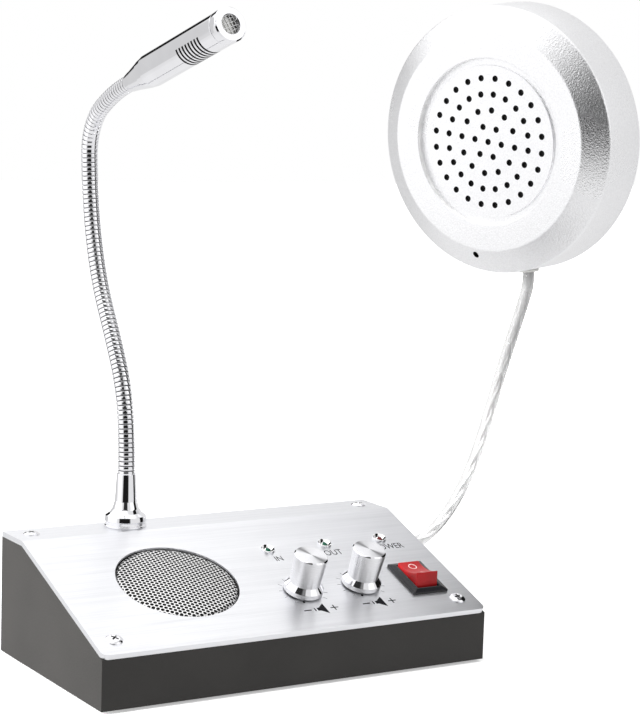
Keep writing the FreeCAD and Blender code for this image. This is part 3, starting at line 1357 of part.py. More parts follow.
def cord_tube(route, radius):
    """A round tube of straight runs joined by tangent arcs, as large as the runs allow."""
    points = [FreeCAD.Vector(*point) for point in route]
    edges = []
    start = points[0]
    for before, corner, after in zip(points, points[1:], points[2:]):
        run_in = corner - before
        run_out = after - corner
        half_turn = run_in.getAngle(run_out) / 2
        trim = 0.45 * min(run_in.Length, run_out.Length)
        bend_radius = trim / math.tan(half_turn)
        print("cable bend radius %.1f mm at a turn of %.1f degrees" % (bend_radius, math.degrees(2 * half_turn)))
        arc_start = corner - run_in.normalize() * trim
        arc_end = corner + run_out.normalize() * trim
        inward = (arc_start + arc_end) * 0.5 - corner
        reach = bend_radius / math.cos(half_turn) - bend_radius
        arc_middle = corner + inward.normalize() * reach
        edges.append(Part.LineSegment(start, arc_start).toShape())
        edges.append(Part.Arc(arc_start, arc_middle, arc_end).toShape())
        start = arc_end
    edges.append(Part.LineSegment(start, points[-1]).toShape())
    path = Part.Wire(edges)
    ring = Part.Wire([Part.Circle(points[0], points[1] - points[0], radius).toShape()])
    tube = path.makePipeShell([ring], True, False)
    print("cable stretch %.1f mm long, volume %.1f of %.1f mm3"
          % (path.Length, tube.Volume, math.pi * radius ** 2 * path.Length))
    return tube


def cable_exit():
    """The cable's first two points, on the grommet's axis: inside the shell and below it."""
    turn = outer_frame().Rotation
    out = FreeCAD.Vector(*[value(part) for part in grommet_direction()], 0)
    centre = FreeCAD.Vector(*[value("Dims.outer_" + name) for name in ("across", "back", "height")])
    points = []
    for reach in ("cable_inner_reach", "cable_outer_reach"):
        local = out * value("Dims." + reach) - FreeCAD.Vector(0, 0, value("Dims.grommet_depth"))
        points.append(tuple(centre + turn.multVec(local)))
    return tuple(points)


def make_cable():
    """Lead from the outer unit, the coil that the rest is wound in, and the plug on its end."""
    radius = value("Dims.cable_radius")
    lead = doc.addObject("Part::Feature", "cable_lead")
    lead.Shape = cord_tube(cable_exit() + CABLE_LEAD, radius)
    tail = doc.addObject("Part::Feature", "cable_tail")
    tail.Shape = cord_tube(CABLE_TAIL, radius)
    node("outer_cable", group("outer_cable", [lead, tail]))
    coil = turned("outer_cable_coil", [
        ("Dims.coil_inner_radius", "0"),
        ("Dims.coil_outer_radius", "0"),
        ("Dims.coil_outer_radius", "2 * Dims.coil_layers * Dims.cable_radius"),
        ("Dims.coil_inner_radius", "2 * Dims.coil_layers * Dims.cable_radius"),
    ])
    node("outer_cable_coil", place(coil, "Dims.coil_across", "Dims.coil_back"))
    boot = "Dims.plug_boot_length"
    body = "(Dims.plug_boot_length + Dims.plug_body_length)"
    plug = turned("outer_cable_plug", [
        ("0", "0"),
        ("Dims.cable_radius + Dims.cable_gap", "0"),
        ("Dims.plug_body_radius - Dims.cable_gap", boot),
        ("Dims.plug_body_radius", boot),
        ("Dims.plug_body_radius", body),
        ("Dims.plug_pin_radius", body),
        ("Dims.plug_pin_radius", "%s + Dims.plug_pin_length - Dims.plug_pin_radius" % body),
        ("0", "%s + Dims.plug_pin_length" % body),
    ])
    place(plug, "Dims.plug_across", "Dims.plug_back", "Dims.plug_body_radius", (0, 1, 0), "-90")
    node("outer_cable_plug", plug)


def build():
    """Make every sub-part in the order in which the unit is put together."""
    make_casing()
    make_base()
    make_face_plate()
    make_face_screws()
    make_desk_speaker()
    nuts = [make_volume_control(index, COLUMNS[index]) for index in (0, 1)]
    node("volume_nuts", group("volume_nuts", nuts))
    make_lamps()
    make_power_switch()
    make_board()
    make_rear_sockets()
    make_ferrule()
    make_gooseneck()
    make_microphone()
    make_outer_shell()
    make_grommet()
    make_grille_disc()
    make_outer_inside()
    make_cable()
    doc.recompute()


def export():
    """Check every object, then write each sub-part to its own STEP file."""
    faults = [item.Label for item in doc.Objects if {"Invalid", "Error"} & set(item.State)]
    if faults:
        raise RuntimeError("failed objects: " + ", ".join(faults))
    os.makedirs("parts", exist_ok=True)
    for item in nodes:
        shape = item.Shape
        if shape.isNull() or not shape.isValid() or not shape.Solids:
            raise RuntimeError("bad shape: " + item.Label)
    for item in nodes:
        item.Shape.exportStep(os.path.join("parts", item.Label + ".step"))
        print("%-26s %2d solids %10.1f mm3" % (item.Label, len(item.Shape.Solids), item.Shape.Volume))
    print(len(nodes), "nodes")


build()
export()
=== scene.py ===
"""Teller window intercom: a sloped desk unit with a gooseneck microphone, and an outer unit on a cable."""

import json
import logging
import math
from collections.abc import Callable, Sequence
from dataclasses import dataclass
from enum import Enum

import bmesh
import bpy
from mathutils import Matrix, Vector


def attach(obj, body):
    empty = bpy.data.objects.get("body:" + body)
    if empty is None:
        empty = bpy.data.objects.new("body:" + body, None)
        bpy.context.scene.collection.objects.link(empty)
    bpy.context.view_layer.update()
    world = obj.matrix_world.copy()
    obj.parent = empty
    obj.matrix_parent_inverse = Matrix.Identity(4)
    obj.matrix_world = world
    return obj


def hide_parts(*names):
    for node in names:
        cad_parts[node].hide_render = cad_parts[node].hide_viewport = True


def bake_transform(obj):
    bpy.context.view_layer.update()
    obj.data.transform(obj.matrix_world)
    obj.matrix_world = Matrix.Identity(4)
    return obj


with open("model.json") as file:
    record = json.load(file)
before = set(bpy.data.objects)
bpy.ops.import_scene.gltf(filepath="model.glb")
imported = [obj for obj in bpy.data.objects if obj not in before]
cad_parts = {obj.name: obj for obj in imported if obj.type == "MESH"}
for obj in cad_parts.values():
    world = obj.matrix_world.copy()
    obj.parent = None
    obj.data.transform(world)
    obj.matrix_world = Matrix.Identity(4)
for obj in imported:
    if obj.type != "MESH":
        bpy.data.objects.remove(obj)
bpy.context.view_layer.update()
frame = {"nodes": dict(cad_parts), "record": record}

log = logging.getLogger("intercom")

MM = 0.001
NEARLY_STRAIGHT = math.radians(89)
LONGEST_REACH = 0.48
ON_AXIS = 1e-6
Colour = tuple[float, float, float]
Outline = Sequence[tuple[float, float]]
Piece = bpy.types.Object
Socket = bpy.types.NodeSocket


class Body(Enum):
    """The bodies that pieces ride on, without the middle of the gooseneck."""

    DESK = "desk_unit"
    INCOMING = "incoming_knob"
    OUTGOING = "outgoing_knob"
    ROCKER = "rocker"
    HEAD = "neck_8"


class Slot(Enum):
    """The record's material slots, one passed along with each new piece."""

    CHROME = "chrome"
    KNOB = "polished_aluminium"
    GRILLE = "perforated_steel"
    SATIN = "outer_aluminium"
    GREEN = "lamp_green"
    RED = "lamp_red"
    ROCKER = "rocker_red"
    BLACK = "switch_black"
    CABLE = "cable_pvc"
    PLUG = "plug_nickel"


def mm(*sizes: float) -> Vector:
    """A point or a shift in metres, from its millimetres."""
    return Vector(sizes) * MM


def turned_to(degrees: float, axis: str) -> Matrix:
    """A turn by an angle in degrees about X, Y or Z."""
    return Matrix.Rotation(math.radians(degrees), 4, axis)


def eased(corners: Sequence[tuple[float, float, float]], steps: int = 4) -> list[tuple[float, float]]:
    """Rounds the corners of an outline.

    Args:
        corners: Each corner's two coordinates and its radius, in millimetres.
        steps: How many straight bits each rounded corner has.

    Returns:
        The outline's points, with its first and last corner left sharp.
    """
    first, last = corners[0], corners[-1]
    points = [(first[0], first[1])]
    for before, here, after in zip(corners, corners[1:], corners[2:]):
        corner = Vector(here[:2])
        back = Vector(before[:2]) - corner
        ahead = Vector(after[:2]) - corner
        half = back.angle(ahead) / 2
        if here[2] <= 0 or half > NEARLY_STRAIGHT:
            points.append((corner.x, corner.y))
            continue
        reach = min(here[2] / math.tan(half), LONGEST_REACH * back.length, LONGEST_REACH * ahead.length)
        radius = reach * math.tan(half)
        middle = corner + (back.normalized() + ahead.normalized()).normalized() * radius / math.sin(half)
        start = corner + back.normalized() * reach - middle
        end = corner + ahead.normalized() * reach - middle
        for step in range(steps + 1):
            spot = middle + start.normalized().slerp(end.normalized(), step / steps) * radius
            points.append((spot.x, spot.y))
    points.append((last[0], last[1]))
    return points


class Bench:
    """The modelling bench: Blender's own tools, each used on a clean selection."""

    @staticmethod
    def clear() -> None:
        """Leaves nothing selected, in object mode."""
        if bpy.context.object and bpy.context.object.mode != "OBJECT":
            bpy.ops.object.mode_set(mode="OBJECT")
        bpy.ops.object.select_all(action="DESELECT")

    @staticmethod
    def hold(*pieces: Piece) -> None:
        """Selects just these pieces, with the first one active.

        Args:
            pieces: The pieces.
        """
        Bench.clear()
        for piece in pieces:
            piece.select_set(True)
        bpy.context.view_layer.objects.active = pieces[0]

    @staticmethod
    def named(name: str) -> Piece:
        """Names the piece that was just added, and its mesh.

        Args:
            name: The name.

        Returns:
            The piece.
        """
        piece = bpy.context.object
        piece.name = name
        piece.data.name = name
        return piece

    @staticmethod
    def edit(piece: Piece) -> None:
        """Opens a piece in edit mode with all of it selected.

        Args:
            piece: The piece.
        """
        Bench.hold(piece)
        bpy.ops.object.mode_set(mode="EDIT")
        bpy.ops.mesh.select_mode(type="VERT")
        bpy.ops.mesh.select_all(action="SELECT")

    @staticmethod
    def pick(test: Callable[[Vector], bool]) -> None:
        """Selects the vertices of the piece in edit mode that pass a test of their place.

        Args:
            test: Says whether a vertex at a place in metres is selected.
        """
        bpy.ops.mesh.select_all(action="DESELECT")
        mesh = bmesh.from_edit_mesh(bpy.context.object.data)
        for vertex in mesh.verts:
            vertex.select = test(vertex.co)
        mesh.select_flush_mode()
        bmesh.update_edit_mesh(bpy.context.object.data)

    @staticmethod
    def merge(gap: float = 0.0005) -> None:
        """Merges vertices that are very close together, and selects all of the piece in edit mode.

        Args:
            gap: How close they are, in millimetres.
        """
        bpy.ops.mesh.select_all(action="SELECT")
        bpy.ops.mesh.remove_doubles(threshold=gap * MM)
        bpy.ops.mesh.select_all(action="SELECT")

    @staticmethod
    def close() -> None:
        """Merges doubles, turns all faces outwards and leaves edit mode."""
        Bench.merge(0.002)
        bpy.ops.mesh.normals_make_consistent(inside=False)
        bpy.ops.object.mode_set(mode="OBJECT")

    @staticmethod
    def flat(name: str, wide: float, deep: float) -> Piece:
        """Stretches a plane about the origin to a size in millimetres, and stays in edit mode.

        Args:
            name: The new piece's name.
            wide: Its size along X.
            deep: Its size along Y.

        Returns:
            The plane.
        """
        Bench.clear()
        bpy.ops.mesh.primitive_plane_add(size=MM)
        piece = Bench.named(name)
        Bench.edit(piece)
        bpy.ops.transform.resize(value=(wide, deep, 1), center_override=(0, 0, 0))
        return piece

    @staticmethod
    def block(name: str, wide: float, deep: float, tall: float) -> Piece:
        """Stretches a cube about the origin to a size in millimetres, and stays in edit mode.

        Args:
            name: The new piece's name.
            wide: Its size along X.
            deep: Its size along Y.
            tall: Its size along Z.

        Returns:
            The cube.
        """
        Bench.clear()
        bpy.ops.mesh.primitive_cube_add(size=MM)
        piece = Bench.named(name)
        Bench.edit(piece)
        bpy.ops.transform.resize(value=(wide, deep, tall), center_override=(0, 0, 0))
        return piece

    @staticmethod
    def trace(name: str, points: Sequence[Vector]) -> Piece:
        """Draws a chain of edges from a plane that is shrunk to one vertex, and stays in edit mode.

        Args:
            name: The new piece's name.
            points: The chain's points in metres.

        Returns:
            The new piece.
        """
        Bench.clear()
        bpy.ops.mesh.primitive_plane_add(size=MM)
        piece = Bench.named(name)
        Bench.edit(piece)
        bpy.ops.mesh.merge(type="CENTER")
        bpy.ops.transform.translate(value=points[0])
        for near, far in zip(points, points[1:]):
            bpy.ops.mesh.extrude_region_move(TRANSFORM_OT_translate={"value": far - near})
        return piece

    @staticmethod
    def turn(name: str, outline: Outline, steps: int = 96, ring: bool = False, sweep: float = 360.0) -> Piece:
        """Turns an outline about Z, as on a lathe.

        Args:
            name: The new piece's name.
            outline: Radius and height of each point, in millimetres.
            steps: How many steps the turn has.
            ring: Whether the outline is closed on itself.
            sweep: How far it is turned, clockwise from X, in degrees.

        Returns:
            The turned piece, about Z at the origin.
        """
        points = [mm(radius, 0, height) for radius, height in outline]
        if ring:
            points.append(points[0])
        piece = Bench.trace(name, points)
        Bench.merge()
        if sweep < 360.0:
            bpy.ops.mesh.edge_face_add()
        bpy.ops.mesh.select_all(action="SELECT")
        bpy.ops.mesh.spin(steps=steps, angle=math.radians(sweep), center=(0, 0, 0), axis=(0, 0, 1))
        Bench.close()
        return piece

    @staticmethod
    def draw_out(name: str, outline: Outline, depth: float) -> Piece:
        """Fills an outline in X and Y and draws it up along Z.

        Args:
            name: The new piece's name.
            outline: X and Y of each point, in millimetres.
            depth: How far it is drawn up, in millimetres.

        Returns:
            The solid piece, standing on the plane z = 0.
        """
        points = [mm(across, along, 0) for across, along in outline]
        piece = Bench.trace(name, points + points[:1])
        Bench.merge()
        bpy.ops.mesh.edge_face_add()
        bpy.ops.mesh.extrude_region_move(TRANSFORM_OT_translate={"value": (0, 0, depth * MM)})
        Bench.close()
        return piece

    @staticmethod
    def seat(piece: Piece, place: Matrix) -> Piece:
        """Puts a piece at its place and applies that to its mesh.

        Args:
            piece: The piece.
            place: Where it goes.

        Returns:
            The same piece, with its origin at the world's.
        """
        Bench.hold(piece)
        piece.matrix_world = place
        bpy.ops.object.transform_apply(location=True, rotation=True, scale=True)
        return piece

    @staticmethod
    def copy(piece: Piece, name: str, place: Matrix) -> Piece:
        """A copy of a piece with its own mesh, at a place of its own.

        Args:
            piece: The piece that is copied.
            name: The copy's name.
            place: Where it goes.

        Returns:
            The copy.
        """
        twin = piece.copy()
        twin.data = piece.data.copy()
        twin.name = name
        twin.data.name = name
        bpy.context.scene.collection.objects.link(twin)
        return Bench.seat(twin, place)

    @staticmethod
    def drop(*pieces: Piece) -> None:
        """Removes pieces that only served to make others."""
        for piece in pieces:
            bpy.data.objects.remove(piece)

    @staticmethod
    def join(name: str, pieces: Sequence[Piece]) -> Piece:
        """Joins pieces into one, which takes the given name.

        Args:
            name: The joined piece's name.
            pieces: The pieces.

        Returns:
            The joined piece.
        """
        Bench.hold(*pieces)
        if len(pieces) > 1:
            bpy.ops.object.join()
        return Bench.named(name)

    @staticmethod
    def apply(piece: Piece, kind: str, **settings: object) -> None:
        """Adds a modifier with these settings and applies it.

        Args:
            piece: The piece.
            kind: The modifier's type.
            settings: The modifier's own settings.
        """
        Bench.hold(piece)
        modifier = piece.modifiers.new(kind.lower(), kind)
        for name, setting in settings.items():
            setattr(modifier, name, setting)
        bpy.ops.object.modifier_apply(modifier=modifier.name)

    @staticmethod
    def carve(piece: Piece, cutter: Piece) -> None:
        """Cuts one piece with another, and removes the cutter."""
        Bench.apply(piece, "BOOLEAN", object=cutter, operation="DIFFERENCE", solver="EXACT")
        Bench.drop(cutter)

    @staticmethod
    def smooth(piece: Piece, degrees: float = 32.0) -> Piece:
        """Shades a piece smooth where its faces meet at less than an angle.

        Args:
            piece: The piece.
            degrees: The angle.

        Returns:
            The same piece.
        """
        Bench.hold(piece)
        bpy.ops.object.shade_smooth_by_angle(angle=math.radians(degrees))
        return piece

    @staticmethod
    def soften(piece: Piece, width: float, segments: int = 2, degrees: float = 30.0) -> None:
        """Rounds the edges of a piece that are sharper than an angle, by a width in millimetres.

        Args:
            piece: The piece.
            width: The width.
            segments: How many steps a rounded edge has.
            degrees: The angle.
        """
        Bench.apply(
            piece, "BEVEL", width=width * MM, segments=segments, limit_method="ANGLE",
            angle_limit=math.radians(degrees), use_clamp_overlap=True,
        )

    @staticmethod
    def wrap(piece: Piece) -> Piece:
        """Gives a piece turned about Z a UV map: U once round the axis, V along the outline.

        Args:
            piece: The piece, whose outline is in metres.

        Returns:
            The same piece.
        """
        mesh = piece.data
        layer = mesh.uv_layers.new(name="wrap")
        for face in mesh.polygons:
            spots = [mesh.vertices[index].co for index in face.vertices]
            turns = [math.atan2(spot.y, spot.x) / math.tau % 1.0 for spot in spots]
            if max(turns) - min(turns) > 0.5:
                turns = [turn + 1.0 if turn < 0.5 else turn for turn in turns]
            outer = [turn for turn, spot in zip(turns, spots) if spot.xy.length > ON_AXIS]
            middle = sum(outer) / max(len(outer), 1)
            for loop, turn, spot in zip(face.loop_indices, turns, spots):
                around = turn if spot.xy.length > ON_AXIS else middle
                layer.data[loop].uv = (around, (spot.z - spot.xy.length) / MM)
        return piece

    @staticmethod
    def zone(piece: Piece, looks: Sequence["Finish"], rule: Callable[[Vector, Vector], int]) -> Piece:
        """Gives a piece several finishes.

        Args:
            piece: The piece, which has no finish yet.
            looks: The finishes.
            rule: Says from a face's middle, in millimetres, and its normal which finish it gets.

        Returns:
            The piece.
        """
        for look in looks:
            piece.data.materials.append(look.material())
        for face in piece.data.polygons:
            face.material_index = rule(face.center / MM, face.normal)
        return piece


# ---- finishes ----


class NodeSheet:
    """The nodes of one material or of the world, added and joined by short calls."""

    def __init__(self, owner: bpy.types.Material | bpy.types.World) -> None:
        """Starts on the nodes of a new material or world.

        Args:
            owner: The material or the world.
        """
        owner.use_nodes = True
        self.owner = owner
        self.tree = owner.node_tree
        self.shader = self.tree.nodes.get("Principled BSDF")

    def add(self, kind: str, inputs: dict | None = None, **settings: object) -> bpy.types.Node:
        """Adds a node.

        Args:
            kind: The node's type, without its first words.
            inputs: What each input gets: a value, or the socket that it is linked to.
            settings: The node's own settings.

        Returns:
            The new node.
        """
        node = self.tree.nodes.new("ShaderNode" + kind)
        for name, setting in settings.items():
            setattr(node, name, setting)
        for name, item in (inputs or {}).items():
            if isinstance(item, Socket):
                self.tree.links.new(item, node.inputs[name])
            else:
                node.inputs[name].default_value = item
        return node

    def set(self, **values: object) -> None:
        """Sets or links the shader's inputs, with spaces written as underscores.

        Args:
            values: What each input gets: a value, or the socket that it is linked to.
        """
        for name, item in values.items():
            socket = self.shader.inputs[name.replace("_", " ")]
            if isinstance(item, Socket):
                self.tree.links.new(item, socket)
            else:
                socket.default_value = item

    def show(self, shader: Socket) -> None:
        """Links a shader to the output in place of the one that the owner started with."""
        output = next(node for node in self.tree.nodes if node.name.endswith("Output"))
        self.tree.links.new(shader, output.inputs[0])

    def position(self, scale: Sequence[float] = (1, 1, 1)) -> Socket:
        """The place on the object, stretched."""
        here = self.add("TexCoord").outputs["Object"]
        return self.add("Mapping", {"Vector": here, "Scale": scale}).outputs[0]

    def wrapped(self, scale: Sequence[float] = (1, 1, 1)) -> Socket:
        """The place on the piece's own wrap, stretched."""
        here = self.add("UVMap", uv_map="wrap").outputs[0]
        return self.add("Mapping", {"Vector": here, "Scale": scale}).outputs[0]

    def faded(self, start: float, end: float) -> Socket:
        """A share from 0 to 1 between two lengths along the wrap, in metres."""
        along = self.add("SeparateXYZ", {0: self.wrapped()}).outputs[1]
        return self.ranged(along, 0.0, 1.0, start, end)

    def noise(self, place: Socket, scale: float, detail: float = 2.0) -> Socket:
        """Cloudy noise from 0 to 1, with its scale in cells per metre."""
        return self.add("TexNoise", {"Vector": place, "Scale": scale, "Detail": detail}).outputs["Fac"]

    def ranged(self, item: Socket, low: float, high: float, start: float = 0.3, end: float = 0.7,
               easing: str = "LINEAR") -> Socket:
        """Spreads a value from start to end over the range from low to high."""
        inputs = {"Value": item, "From Min": start, "From Max": end, "To Min": low, "To Max": high}
        return self.add("MapRange", inputs, interpolation_type=easing).outputs[0]

    def vector(self, operation: str, first: object, second: object = (0, 0, 0)) -> bpy.types.Node:
        """One sum of two vectors."""
        return self.add("VectorMath", {0: first, 1: second}, operation=operation)

    def maths(self, operation: str, first: object, second: object = 0.0) -> Socket:
        """One sum of two values."""
        return self.add("Math", {0: first, 1: second}, operation=operation).outputs[0]

    def mixed(self, share: object, first: object, second: object) -> Socket:
        """A colour between two colours.

        Args:
            share: How much of the second colour it has, from 0 to 1.
            first: A colour or its socket.
            second: A colour or its socket.

        Returns:
            The mixed colour.
        """
        node = self.add("Mix", {0: share}, data_type="RGBA")
        for index, item in ((6, first), (7, second)):
            if isinstance(item, Socket):
                self.tree.links.new(item, node.inputs[index])
            else:
                node.inputs[index].default_value = (*item, 1.0)
        return node.outputs[2]

    def bump(self, height: Socket, strength: float, depth: float,
             over: Socket | None = None) -> Socket:
        """A bumpy surface normal, with its depth in millimetres.

        Args:
            height: The height, from 0 to 1.
            strength: How much of the bumps is seen, from 0 to 1.
            depth: How deep they are, in millimetres.
            over: The normal under them, if it isn't the plain one.

        Returns:
            The normal.
        """
        inputs = {"Height": height, "Strength": strength, "Distance": depth * MM}
        if over is not None:
            inputs["Normal"] = over
        return self.add("Bump", inputs).outputs[0]

    def edges(self, radius: float) -> Socket:
        """A surface normal that rounds the edges by a radius in millimetres."""
        return self.add("Bevel", {"Radius": radius * MM}, samples=4).outputs[0]


@dataclass(frozen=True)
class Finish:
    """What every finish has: its name and its main colour."""

    name: str
    colour: Colour

    def draw(self, sheet: NodeSheet) -> None:
        """Draws the finish on a sheet of nodes."""
        raise NotImplementedError

    def shade(self, factor: float) -> Colour:
        """The main colour, lighter or darker."""
        return tuple(min(1.0, part * factor) for part in self.colour)

    def material(self) -> bpy.types.Material:
        """The material of this finish, which is made once.

        Returns:
            The material.
        """
        made = bpy.data.materials.get(self.name)
        if made is None:
            made = bpy.data.materials.new(self.name)
            self.draw(NodeSheet(made))
        return made

    def dress(self, *pieces: Piece) -> None:
        """Gives pieces this finish all over.

        Args:
            pieces: The pieces.
        """
        for piece in pieces:
            if not piece.material_slots:
                piece.data.materials.append(self.material())
            for slot in piece.material_slots:
                slot.material = self.material()


@dataclass(frozen=True)
class GrainyCoat(Finish):
    """Powder coat, moulded plastic, rubber, foam or paper: a dull colour with a fine grain."""

    roughness: float = 0.45
    grain: float = 0.4
    depth: float = 0.03
    edge: float = 0.3
    sheen: float = 0.5

    def draw(self, sheet: NodeSheet) -> None:
        """Draws cloudy colour, a grain in the surface, and edges that catch the light.

        Args:
            sheet: The material's nodes.
        """
        place = sheet.position()
        specks = sheet.noise(place, 1 / (self.grain * MM), 3.0)
        clouds = sheet.noise(place, 35.0, 4.0)
        sheet.set(
            Base_Color=sheet.mixed(sheet.ranged(clouds, 0.0, 1.0), self.shade(0.88), self.shade(1.12)),
            Roughness=sheet.ranged(specks, self.roughness - 0.05, self.roughness + 0.06),
            Specular_IOR_Level=self.sheen,
            Normal=sheet.bump(specks, 0.35, self.depth, sheet.edges(self.edge)),
        )


@dataclass(frozen=True)
class BrushedSheet(Finish):
    """Sheet metal brushed along X, with streaks of uneven length."""

    roughness: float = 0.36
    streak: float = 0.35
    edge: float = 0.25

    def draw(self, sheet: NodeSheet) -> None:
        """Draws long thin streaks in colour, roughness and height.

        Args:
            sheet: The material's nodes.
        """
        fine = sheet.noise(sheet.position((14, 900, 900)), 2.6, 3.0)
        broad = sheet.noise(sheet.position((5, 260, 260)), 2.2, 3.0)
        streaks = sheet.maths("ADD", sheet.maths("MULTIPLY", fine, 0.6), sheet.maths("MULTIPLY", broad, 0.4))
        across = sheet.add("CombineXYZ", {0: 0.0, 1: 1.0, 2: 0.3}).outputs[0]
        sheet.set(
            Base_Color=sheet.mixed(sheet.ranged(streaks, 0.0, 1.0, 0.36, 0.64), self.shade(1 - self.streak),
                                   self.shade(1.0)),
            Metallic=1.0,
            Roughness=sheet.ranged(streaks, self.roughness + 0.08, self.roughness - 0.05, 0.36, 0.64),
            Anisotropic=0.75,
            Tangent=across,
            Normal=sheet.bump(streaks, 0.4, 0.03, sheet.edges(self.edge)),
        )


@dataclass(frozen=True)
class TurnedMetal(Finish):
    """Metal turned and polished on a lathe: fine rings round the piece's own axis, and two dark rays on its
    end face that are a painted reflection.
    """

    roughness: float = 0.16
    ring: float = 0.12
    anisotropy: float = 0.7
    painted_ray: float = 118.0
    painted_ray_from: float = 9.06
    painted_ray_shade: float = 0.33

    def draw(self, sheet: NodeSheet) -> None:
        """Draws fine rings from the piece's wrap, and two dark rays on its end face, which are a painted
        reflection.

        Args:
            sheet: The material's nodes.
        """
        rings = sheet.noise(sheet.wrapped((2.0, 1.0, 1.0)), 1 / self.ring, 3.0)
        smears = sheet.noise(sheet.position(), 90.0, 3.0)
        parts = sheet.add("SeparateXYZ", {0: sheet.wrapped()}).outputs
        # Painted reflection: two dark rays on the end face, fixed to the piece, darken its colour.
        turned = sheet.maths("SUBTRACT", sheet.maths("MULTIPLY", parts[0], math.tau), math.radians(self.painted_ray))
        lean = sheet.maths("POWER", sheet.maths("ABSOLUTE", sheet.maths("COSINE", turned)), 22.0)
        painted_ray = sheet.maths("MULTIPLY", lean, sheet.maths("GREATER_THAN", parts[1], self.painted_ray_from))
        bright = sheet.mixed(sheet.ranged(rings, 0.0, 1.0), self.shade(0.86), self.shade(1.0))
        sheet.set(
            Base_Color=sheet.mixed(painted_ray, bright, self.shade(self.painted_ray_shade)),
            Metallic=1.0,
            Roughness=sheet.ranged(smears, self.roughness - 0.02, self.roughness + 0.04),
            Anisotropic=self.anisotropy,
            Anisotropic_Rotation=0.25,
            Tangent=sheet.add("Tangent", direction_type="UV_MAP", uv_map="wrap").outputs[0],
            Normal=sheet.bump(rings, 0.06, 0.01),
        )


@dataclass(frozen=True)
class Chrome(Finish):
    """Bright plating with faint smears and waves."""

    roughness: float = 0.045
    edge: float = 0.0

    def draw(self, sheet: NodeSheet) -> None:
        """Draws a mirror that is a little uneven.

        Args:
            sheet: The material's nodes.
        """
        place = sheet.position()
        smears = sheet.noise(place, 120.0, 4.0)
        waves = sheet.noise(place, 60.0, 1.0)
        over = sheet.edges(self.edge) if self.edge else None
        sheet.set(
            Base_Color=sheet.mixed(sheet.ranged(smears, 0.0, 1.0), self.shade(0.95), self.shade(1.0)),
            Metallic=1.0,
            Roughness=sheet.ranged(smears, self.roughness * 0.7, self.roughness * 1.5),
            Normal=sheet.bump(waves, 0.05, 0.05, over),
        )


@dataclass(frozen=True)
class FlakeSatin(Finish):
    """Satin metal with a fine bright flake, or plain dull plating where the flake is small."""

    roughness: float = 0.34
    flake: float = 0.45
    depth: float = 0.05
    edge: float = 0.3

    def draw(self, sheet: NodeSheet) -> None:
        """Draws small flakes that tilt the surface each their own way.

        Args:
            sheet: The material's nodes.
        """
        place = sheet.position()
        cells = sheet.noise(place, 1 / (self.flake * MM), 4.0)
        clouds = sheet.noise(place, 22.0, 3.0)
        sheet.set(
            Base_Color=sheet.mixed(sheet.ranged(cells, 0.0, 1.0), self.shade(0.9), self.shade(1.0)),
            Metallic=1.0,
            Roughness=sheet.ranged(clouds, self.roughness - 0.03, self.roughness + 0.03),
            Normal=sheet.bump(cells, 0.55, self.depth, sheet.edges(self.edge)),
        )


@dataclass(frozen=True)
class GlossPlastic(Finish):
    """Moulded glossy plastic with a soft flow in its surface, clear where it lets light through."""

    roughness: float = 0.2
    through: float = 0.0
    edge: float = 0.2
    coat: float = 0.15
    sheen: float = 0.5

    def draw(self, sheet: NodeSheet) -> None:
        """Draws a smooth coloured skin with faint flow marks.

        Args:
            sheet: The material's nodes.
        """
        place = sheet.position()
        flow = sheet.noise(place, 260.0, 2.0)
        specks = sheet.noise(place, 3000.0, 2.0)
        sheet.set(
            Base_Color=sheet.mixed(sheet.ranged(flow, 0.0, 1.0), self.shade(0.9), self.shade(1.08)),
            Roughness=sheet.ranged(specks, self.roughness - 0.04, self.roughness + 0.05),
            Transmission_Weight=self.through,
            Specular_IOR_Level=self.sheen,
            Coat_Weight=self.coat,
            Coat_Roughness=0.08,
            Normal=sheet.bump(flow, 0.08, 0.05, sheet.edges(self.edge)),
        )


@dataclass(frozen=True)
class CircuitBoard(Finish):
    """Green solder mask over a pattern of tracks."""

    def draw(self, sheet: NodeSheet) -> None:
        """Draws square tracks a little lighter than the board.

        Args:
            sheet: The material's nodes.
        """
        black, white = (0, 0, 0, 1), (1, 1, 1, 1)
        tracks = sheet.add("TexBrick", {
            "Vector": sheet.position(), "Scale": 150.0, "Mortar Size": 0.03, "Color1": black, "Color2": black,
            "Mortar": white,
        })
        sheet.set(
            Base_Color=sheet.mixed(tracks.outputs["Color"], self.colour, self.shade(2.2)),
            Roughness=0.35,
            Normal=sheet.bump(tracks.outputs["Fac"], 0.3, 0.03),
        )


@dataclass(frozen=True)
class PrintedInk(Finish):
    """Thin screen-printed ink with slightly uneven cover."""

    def draw(self, sheet: NodeSheet) -> None:
        """Draws a dull colour that varies a little.

        Args:
            sheet: The material's nodes.
        """
        cover = sheet.noise(sheet.position(), 1800.0, 2.0)
        sheet.set(
            Base_Color=sheet.mixed(sheet.ranged(cover, 0.0, 1.0), self.shade(0.85), self.shade(1.2)),
            Roughness=sheet.ranged(cover, 0.5, 0.65),
            Specular_IOR_Level=0.06,
        )


@dataclass(frozen=True)
class ClearSheath(Finish):
    """Clear soft plastic over the conductors of a cable, a little cloudy and ribbed along its wrap."""

    def draw(self, sheet: NodeSheet) -> None:
        """Draws a see-through skin with cloudy spots, milky by the outer unit and clear further on.

        Args:
            sheet: The material's nodes.
        """
        clouds = sheet.noise(sheet.wrapped((3.0, 220.0, 1.0)), 1.0, 3.0)
        milky = sheet.mixed(sheet.ranged(clouds, 0.0, 1.0), self.shade(0.94), self.colour)
        clear = sheet.faded(0.038, 0.085)
        sheet.set(
            Base_Color=sheet.mixed(clear, milky, (0.99, 0.99, 0.99)),
            Roughness=sheet.ranged(clouds, 0.12, 0.3),
            IOR=1.3,
            Transmission_Weight=sheet.ranged(clear, 0.6, 0.97, 0.0, 1.0),
            Normal=sheet.bump(clouds, 0.15, 0.1),
        )


